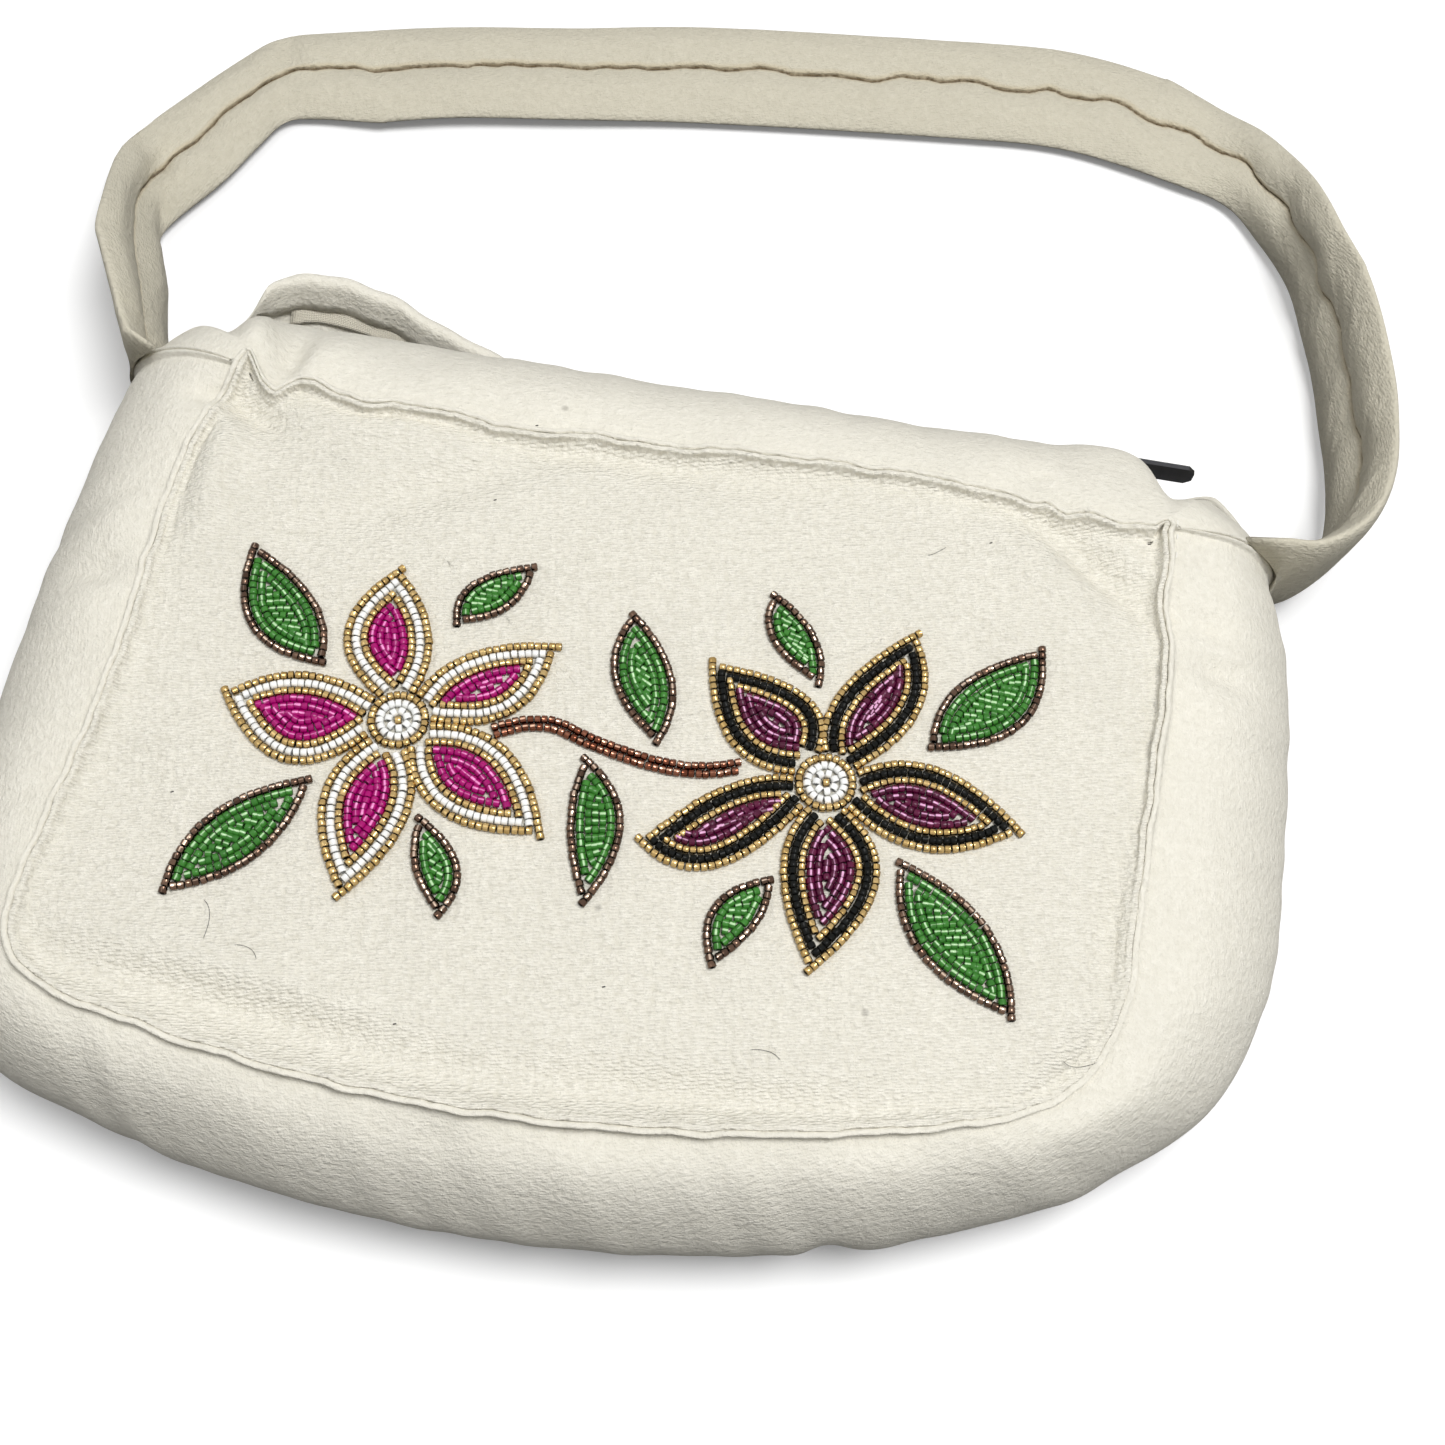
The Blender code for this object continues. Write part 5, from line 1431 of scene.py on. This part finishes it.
def leaf_beads(sides, pitch, leader):
    """Rows of one leaf: a dark outline, one or two green loops, and short rows across its middle."""
    def anywhere(left, right):
        return np.ones(len(left), bool)

    left, right, width = moved_sides(sides, BEAD_ROW * 0.5)
    start, end = open_span(width, anywhere(left, right))
    rows = [left[start:end], right[start:end]]
    rows[leader] = run_on(run_on(rows[leader], 1.1 * pitch)[::-1], 1.1 * pitch)[::-1]
    rows[1 - leader] = clear_of(rows[1 - leader], rows[leader], ROWS_CLEAR)
    outline = [beads_along(row, pitch) for row in rows]
    widest = moved_sides(sides, 0.0)[2].max()
    loops = 2 if widest - 6 * BEAD_ROW > 1.2 * pitch else 1
    green = []
    for k in range(1, loops + 1):
        green += pair_of_rows(sides, BEAD_ROW * (k + 0.5), anywhere, pitch, leader=leader)
    left, right, width = moved_sides(sides, BEAD_ROW * (loops + 1))
    middle = (left + right) / 2
    length = lengths_along(middle)
    wide_enough = width > pitch * 0.6
    if wide_enough.any():
        span = length[wide_enough]
        count = max(1, math.ceil((span[-1] - span[0]) / BEAD_ROW - 0.2))
        for at in span[0] + (np.arange(count) + 0.5) * (span[-1] - span[0]) / count:
            a, b = (read_along(side, at, length)[0] for side in (left, right))
            green.append(beads_along(np.array([a, (a + b) / 2, b]), pitch))
    return outline, green


def bead_profile(settings):
    """A bead's closed profile as (along its hole, radius, how near its end): hole, chamfer and side."""
    half, radius = settings.length / MM / 2, settings.diameter / MM / 2
    side = [(half - 0.06, 0.40, 1.0), (half, radius - 0.16, 1.0), (half - 0.13, radius, 0.0)]
    return np.array(side + [(-x, r, e) for x, r, e in side[::-1]])


def bead_shape(rows, centre, settings, seed):
    """Every bead of some rows: its profile turned round its hole and laid on the panel along its row."""
    rows = np.vstack(rows)
    chance = np.random.default_rng(seed)
    count = len(rows)
    middle = rows[:, :2] + centre + chance.normal(0, BEAD_ASIDE, (count, 2))
    heading = np.arctan2(rows[:, 3], rows[:, 2]) + chance.normal(0, BEAD_TURN, count)
    profile = bead_profile(settings)
    sides = settings.sides
    angle = np.linspace(0, WHOLE_TURN, sides, endpoint=False) + math.pi / 2
    x = np.repeat(profile[:, 0], sides)
    y = np.outer(profile[:, 1], np.cos(angle)).ravel()
    z = np.outer(profile[:, 1], np.sin(angle)).ravel()
    c, s = np.cos(heading)[:, None], np.sin(heading)[:, None]
    stretch = 1 + chance.normal(0, BEAD_STRETCH, (count, 1))
    tilt = chance.normal(0, BEAD_TILT, (count, 1))
    radius = settings.diameter / MM / 2
    floor = BAG_DEPTH + panel_height(middle[:, 0], middle[:, 1]) + radius - BEAD_SUNK
    floor = floor + chance.normal(0, BEAD_UP, count)
    points = np.stack([middle[:, :1] + x * stretch * c - y * s, middle[:, 1:] + x * stretch * s + y * c,
                       floor[:, None] + z + x * tilt], axis=-1)
    single = grid_faces(len(profile), sides, closed_rows=True, closed_columns=True)
    single = outward(points[0], [single])[0]
    faces = (single[None] + (np.arange(count) * len(x))[:, None, None]).reshape(-1, 4)
    tone = np.repeat(chance.random(count), len(x))
    # How near each point is to its bead's end, which the finishes darken as painted shade and dark thread
    # where beads meet.
    end = np.tile(np.repeat(profile[:, 2], sides), count)
    # The painted highlight: a random strength on the top line of each bead's side, which the bead finishes
    # turn into a light colour.
    topmost = np.tile(np.arange(sides) == 0, len(profile))
    dash = (chance.random(count)[:, None] ** 0.7 * topmost).ravel()
    shape = Shape()
    shape.add(points, [faces], tone=tone, end=end, dash=dash)
    return shape


# Operators


class BAG_OT_materials(bpy.types.Operator):
    """Makes the finishes of the cloth, the beads and the metal."""

    bl_idname = "bag.materials"
    bl_label = "Finishes"

    def execute(self, context):
        cloth = context.scene.bag_cloth
        wool_look("cream_wool", toned(cloth.colour, 1.05), cloth.weave)
        wool_look("gusset_wool", tuple(cloth.colour), cloth.weave * 0.3, depth=0.75)
        wool_look("strap_wool", tuple(cloth.strap_colour), cloth.weave * 0.5, 0.15, 0.75, True)
        cord_look("zip_tape", (0.80, 0.75, 0.62))
        for name, *finish in PLAIN_FINISHES:
            plain_look(name, *finish)
        for name, *finish, gloss in BEAD_FINISHES:
            bead_look(name, *finish, **gloss)
        return {"FINISHED"}


class BAG_OT_panels(bpy.types.Operator):
    """Makes the front panel with its turned-up seam allowance, the back panel, stitches and lint."""

    bl_idname = "bag.panels"
    bl_label = "Panels"

    def execute(self, context):
        seam = Seam()
        wave = context.scene.bag_cloth.ridge_wave / MM
        front = add_piece("front_panel_cloth", build_front_panel(seam, wave), finish_of("cream_wool"),
                          ["front_panel"])
        back = add_piece("back_panel_cloth", build_back_panel(seam), finish_of("cream_wool"),
                         ["back_panel"])
        add_piece("ridge_stitches", build_stitches(), finish_of("sewing_thread"))
        add_piece("lint_on_panel", build_lint(), finish_of("lint"))
        return {"FINISHED"}


class BAG_OT_walls(bpy.types.Operator):
    """Makes the gusset and the two strips along the mouth."""

    bl_idname = "bag.walls"
    bl_label = "Gusset and top strips"

    def execute(self, context):
        seam = Seam()
        wave = context.scene.bag_cloth.ridge_wave / MM
        right, left = seam.at_angle(RIGHT_END_ANGLE), seam.at_angle(LEFT_END_ANGLE - WHOLE_TURN)
        whole = seam.measure[-1]
        gusset_ends = right + GAP / 2, left - GAP / 2
        strip_ends = left + GAP / 2, whole + right - GAP / 2
        front_edges = (None, lambda x: ZIP_HEIGHT + slot_half(x))
        back_edges = (lambda x: ZIP_HEIGHT - slot_half(x), None)
        strip_flat = (0.040, 0.235)
        for node, ends, edges, (count, steps), flat, more in (
                ("gusset", gusset_ends, (None, None), GUSSET_STEPS, (0.082, 0.520), {"puff": 0.9}),
                ("top_strip_front", strip_ends, front_edges, FRONT_STRIP_STEPS, strip_flat, {"puff": 1.2}),
                ("top_strip_back", strip_ends, back_edges, BACK_STRIP_STEPS, strip_flat, {"gapes": True})):
            points, uv, out = wall_body(seam, end_packed(*ends, count), edges, steps, wave, **more)
            points = with_fins(points, out)
            made = add_piece(node + "_cloth", ladder_body(points, uv), finish_of("gusset_wool"),
                             [node])
        return {"FINISHED"}


class BAG_OT_strap(bpy.types.Operator):
    """Makes the strap, a flat tube that lies in a loop beyond the mouth."""

    bl_idname = "bag.strap"
    bl_label = "Strap"

    def execute(self, context):
        made = add_piece("strap_cloth", build_strap(Seam()), finish_of("strap_wool"), ["strap"])
        return {"FINISHED"}


class BAG_OT_zip(bpy.types.Operator):
    """Makes the zip's tapes and coils, and finishes its metal parts."""

    bl_idname = "bag.zip"
    bl_label = "Zip"

    def execute(self, context):
        for name, side in (("front", 1), ("back", -1)):
            for slot, build, made in (("zip_tape", tape_shape, "woven"), ("zip_coil", coil_shape, "wound")):
                node = slot + "_" + name
                add_piece(node + "_" + made, build(side), finish_of(slot), [node])
        for name in ("zip_slider", "zip_pull", "zip_end_stop"):
            node = bpy.data.objects[name]
            node.data.materials.clear()
            node.data.materials.append(finish_of("gunmetal"))
        return {"FINISHED"}


def zip_line():
    """Y of the zip's middle plane, just inside the top strips."""
    wall = float(wall_curve(turn_at(ZIP_HEIGHT), TOP_BULGE)[0])
    return PANEL_SIDE / 2 + wall - CLOTH / 2 - SEWN_GAP - TAPE / 2


def tape_shape(side):
    """A tape along the inner side of its strip: the strip's curve moved inward, carried along X."""
    near = ZIP_HEIGHT + side * (COIL_SPACE / 2 + COIL + TAPE_TO_COIL)
    far = ZIP_HEIGHT + side * TAPE_WIDTH
    turns = np.linspace(float(turn_at(near)), float(turn_at(far)), TAPE_STEPS)
    line = wall_curve(turns, TOP_BULGE)
    inward = left_of(directions(line)) * (1 if far < near else -1)
    middle = line - inward * (CLOTH / 2 + SEWN_GAP + TAPE / 2)
    section = np.vstack([middle + inward * TAPE / 2, (middle - inward * TAPE / 2)[::-1]])
    x = np.linspace(-ZIP_HALF, ZIP_HALF, 120)
    points = np.empty((len(x), len(section), 3))
    points[..., 0] = x[:, None]
    points[..., 1] = section[:, 0] + PANEL_SIDE / 2
    points[..., 2] = section[:, 1]
    if side < 0:
        edge = float(turn_at(ZIP_HEIGHT - slot_half(0.0)))
        points = opened(points, mouth_share(np.concatenate([turns, turns[::-1]]), edge))
    across = np.concatenate([np.arange(TAPE_STEPS), np.arange(TAPE_STEPS)[::-1]]) * TAPE_WIDTH / TAPE_STEPS
    uv = np.stack(np.broadcast_arrays(x[:, None], across[None]), axis=-1) / 100
    return ladder_body(points, uv)


def coil_shape(side):
    """A wire wound round its tape's edge: a helix along X, flattened to the coil's box."""
    start, end = -ZIP_HALF + 0.4, ZIP_HALF - STOP_LENGTH - GAP - 0.4
    turns = (end - start) / COIL_PITCH
    t = np.linspace(0, 1, int(turns * 12))
    angle = t * turns * 2 * math.pi
    reach = COIL / 2 - COIL_WIRE
    path = np.column_stack([start + (end - start) * t, zip_line() + reach * np.cos(angle),
                            ZIP_HEIGHT + side * (COIL_SPACE / 2 + COIL / 2) + reach * np.sin(angle)])
    if side < 0:
        path = opened(path, 1.0)
    return tube(path, COIL_WIRE, 6)


class BAG_OT_beadwork(bpy.types.Operator):
    """Lays every bead of the two flowers, the ten leaves and the stem."""

    bl_idname = "bag.beadwork"
    bl_label = "Beadwork"

    def execute(self, context):
        settings = context.scene.bag_beads
        pitch = settings.pitch / MM
        seed = 100
        for name, flower in FLOWERS.items():
            petals = list(flower["petals"].values())
            gold = [ring_of_beads(RING_RADIUS - BEAD_ROW * 0.5, pitch), np.array([[0.0, 0.0, 1.0, 0.3]])]
            for k, petal in enumerate(flower["petals"]):
                rows, band, fill = petal_beads(petal_sides(petals, k), pitch)
                gold += rows
                for part, beads, look in (("band", band, flower["band"]), ("field", fill, flower["fill"])):
                    seed += 1
                    self.lay("%s_%s_%s" % (name, petal, part), beads, flower["centre"], settings, seed, look)
            self.lay(name + "_outline", gold, flower["centre"], settings, seed + 50, "gold_bead")
            rings = [ring_of_beads(RING_RADIUS - BEAD_ROW * 1.5, pitch, 0.2),
                     ring_of_beads(1.78, pitch * 1.1, 0.5)]
            self.lay(name + "_centre", rings, flower["centre"], settings, seed + 60, "white_bead")
        for name, (first, last, left, right) in LEAVES.items():
            seed += 1
            sides = [quadratic(first, side, last, PETAL_STEPS) for side in (left, right)]
            outline, green = leaf_beads(sides, pitch, int(name in RIGHT_SIDE_LEADS))
            self.lay("leaf_%s_outline" % name, outline, (0, 0), settings, seed, "bronze_bead")
            self.lay("leaf_%s_field" % name, green, (0, 0), settings, seed + 300, "green_bead")
        middle = smooth_through(STEM, 1.0)
        aside = left_of(directions(middle)) * BEAD_ROW / 2
        rows = [beads_along(middle + aside, pitch), beads_along(run_on(middle - aside, -1.0), pitch)]
        self.lay("stem", rows, (0, 0), settings, 900, "red_brown_bead")
        return {"FINISHED"}

    def lay(self, node, rows, centre, settings, seed, look):
        """One node's beads as one piece in place of its plate."""
        shape = bead_shape(rows, np.array(centre), settings, seed)
        made = add_piece(node + "_beads", shape, finish_of(look), [node])
        made.data.set_sharp_from_angle(angle=BEAD_SHARP)


class BAG_OT_stage(bpy.types.Operator):
    """Makes the floor, the soft lights and the camera."""

    bl_idname = "bag.stage"
    bl_label = "Stage"

    def execute(self, context):
        settings = context.scene.bag_stage
        self.add_floor(context)
        self.add_world(context)
        for name, place, size, share in LIGHTS:
            self.add_light(name, place, size, settings.key_power * share)
        camera = bpy.data.objects.new("camera", bpy.data.cameras.new("camera"))
        context.scene.collection.objects.link(camera)
        camera.data.lens, camera.data.sensor_width = settings.lens, SENSOR
        camera.data.clip_start, camera.data.clip_end = 0.01, 20.0
        a, e, roll = settings.azimuth, settings.elevation, settings.roll
        back = Vector((math.sin(a) * math.cos(e), -math.cos(a) * math.cos(e), math.sin(e)))
        right = (-back).cross(Vector((0, 0, 1))).normalized()
        up = right.cross(-back)
        across = right * math.cos(roll) + up * math.sin(roll)
        over = up * math.cos(roll) - right * math.sin(roll)
        turn = Matrix((across, over, back)).transposed().to_4x4()
        camera.matrix_world = Matrix.Translation(AIM + back * settings.distance) @ turn
        context.scene.camera = camera
        context.scene.view_settings.view_transform = "Standard"
        return {"FINISHED"}

    def add_floor(self, context):
        """A floor that shows white to the camera and throws little light back up at the bag."""
        corners = ((-1, -1), (1, -1), (1, 1), (-1, 1))
        shape = Shape()
        shape.add(np.array([(x * FLOOR_REACH, y * FLOOR_REACH, FLOOR_LEVEL) for x, y in corners]),
                  [np.array([[0, 1, 2, 3]])])
        look = Look("white_floor", 0.9, Specular_IOR_Level=0.1)
        seen = look.seen()
        look.link(look.mixed(seen, FLOOR_LIGHTING, FLOOR_SEEN), "Base Color")
        look.link((1.0, 1.0, 1.0), "Emission Color")
        look.link(look.maths("MULTIPLY", seen, FLOOR_GLOW), "Emission Strength")
        mesh = shape.mesh("floor")
        mesh.materials.append(look.material)
        floor = bpy.data.objects.new("floor", mesh)
        context.scene.collection.objects.link(floor)

    def add_world(self, context):
        """A pale sky that shows white to the camera and lights softly, more from above and the sides."""
        world = bpy.data.worlds.new("pale_sky")
        context.scene.world = world
        world.use_nodes = True
        nodes = Nodes(world.node_tree)
        shade = nodes.tree.nodes["Background"].inputs
        nodes.feed(shade["Color"], (1.0, 1.0, 1.0))
        place = nodes.node("SeparateXYZ", Vector=nodes.node("TexCoord").outputs["Generated"]).outputs
        sides = nodes.maths("MULTIPLY", nodes.maths("ABSOLUTE", place["X"], 0.0), SKY_SIDES)
        lighting = nodes.maths("ADD", nodes.spread(place["Z"], 0.0, 1.0, *SKY_FROM_TO), sides)
        nodes.feed(shade["Strength"], nodes.spread(nodes.seen(), 0.0, 1.0, lighting, 1.0))

    def add_light(self, name, place, size, power):
        """A round area light aimed at the bag."""
        light = bpy.data.lights.new(name, "AREA")
        light.shape, light.size, light.energy = "DISK", size, power
        made = bpy.data.objects.new(name, light)
        made.location = place
        made.rotation_euler = (LIT_PLACE - Vector(place)).to_track_quat("-Z", "Y").to_euler()
        bpy.context.scene.collection.objects.link(made)


class VIEW3D_PT_bag(bpy.types.Panel):
    """The bag's settings and the steps that make it."""

    bl_label = "Beaded bag"
    bl_space_type = "VIEW_3D"
    bl_region_type = "UI"
    bl_category = "Bag"

    def draw(self, context):
        for settings in (context.scene.bag_cloth, context.scene.bag_beads, context.scene.bag_stage):
            for name in settings.__annotations__:
                self.layout.prop(settings, name)
        for step in STEPS:
            self.layout.operator(step.bl_idname)


STEPS = (BAG_OT_materials, BAG_OT_stage, BAG_OT_panels, BAG_OT_walls, BAG_OT_strap, BAG_OT_zip,
         BAG_OT_beadwork)
SETTINGS = {"bag_cloth": ClothSettings, "bag_beads": BeadSettings, "bag_stage": StageSettings}


def register():
    for made in (*SETTINGS.values(), *STEPS, VIEW3D_PT_bag):
        bpy.utils.register_class(made)
    for name, settings in SETTINGS.items():
        setattr(bpy.types.Scene, name, PointerProperty(type=settings))


def unregister():
    for name in SETTINGS:
        delattr(bpy.types.Scene, name)
    for made in (VIEW3D_PT_bag, *STEPS[::-1], *SETTINGS.values()):
        bpy.utils.unregister_class(made)


def main():
    """Runs every step in order."""
    register()
    for step in (bpy.ops.bag.materials, bpy.ops.bag.stage, bpy.ops.bag.panels, bpy.ops.bag.walls,
                 bpy.ops.bag.strap, bpy.ops.bag.zip, bpy.ops.bag.beadwork):
        step()


if __name__ == "__main__":
    main()
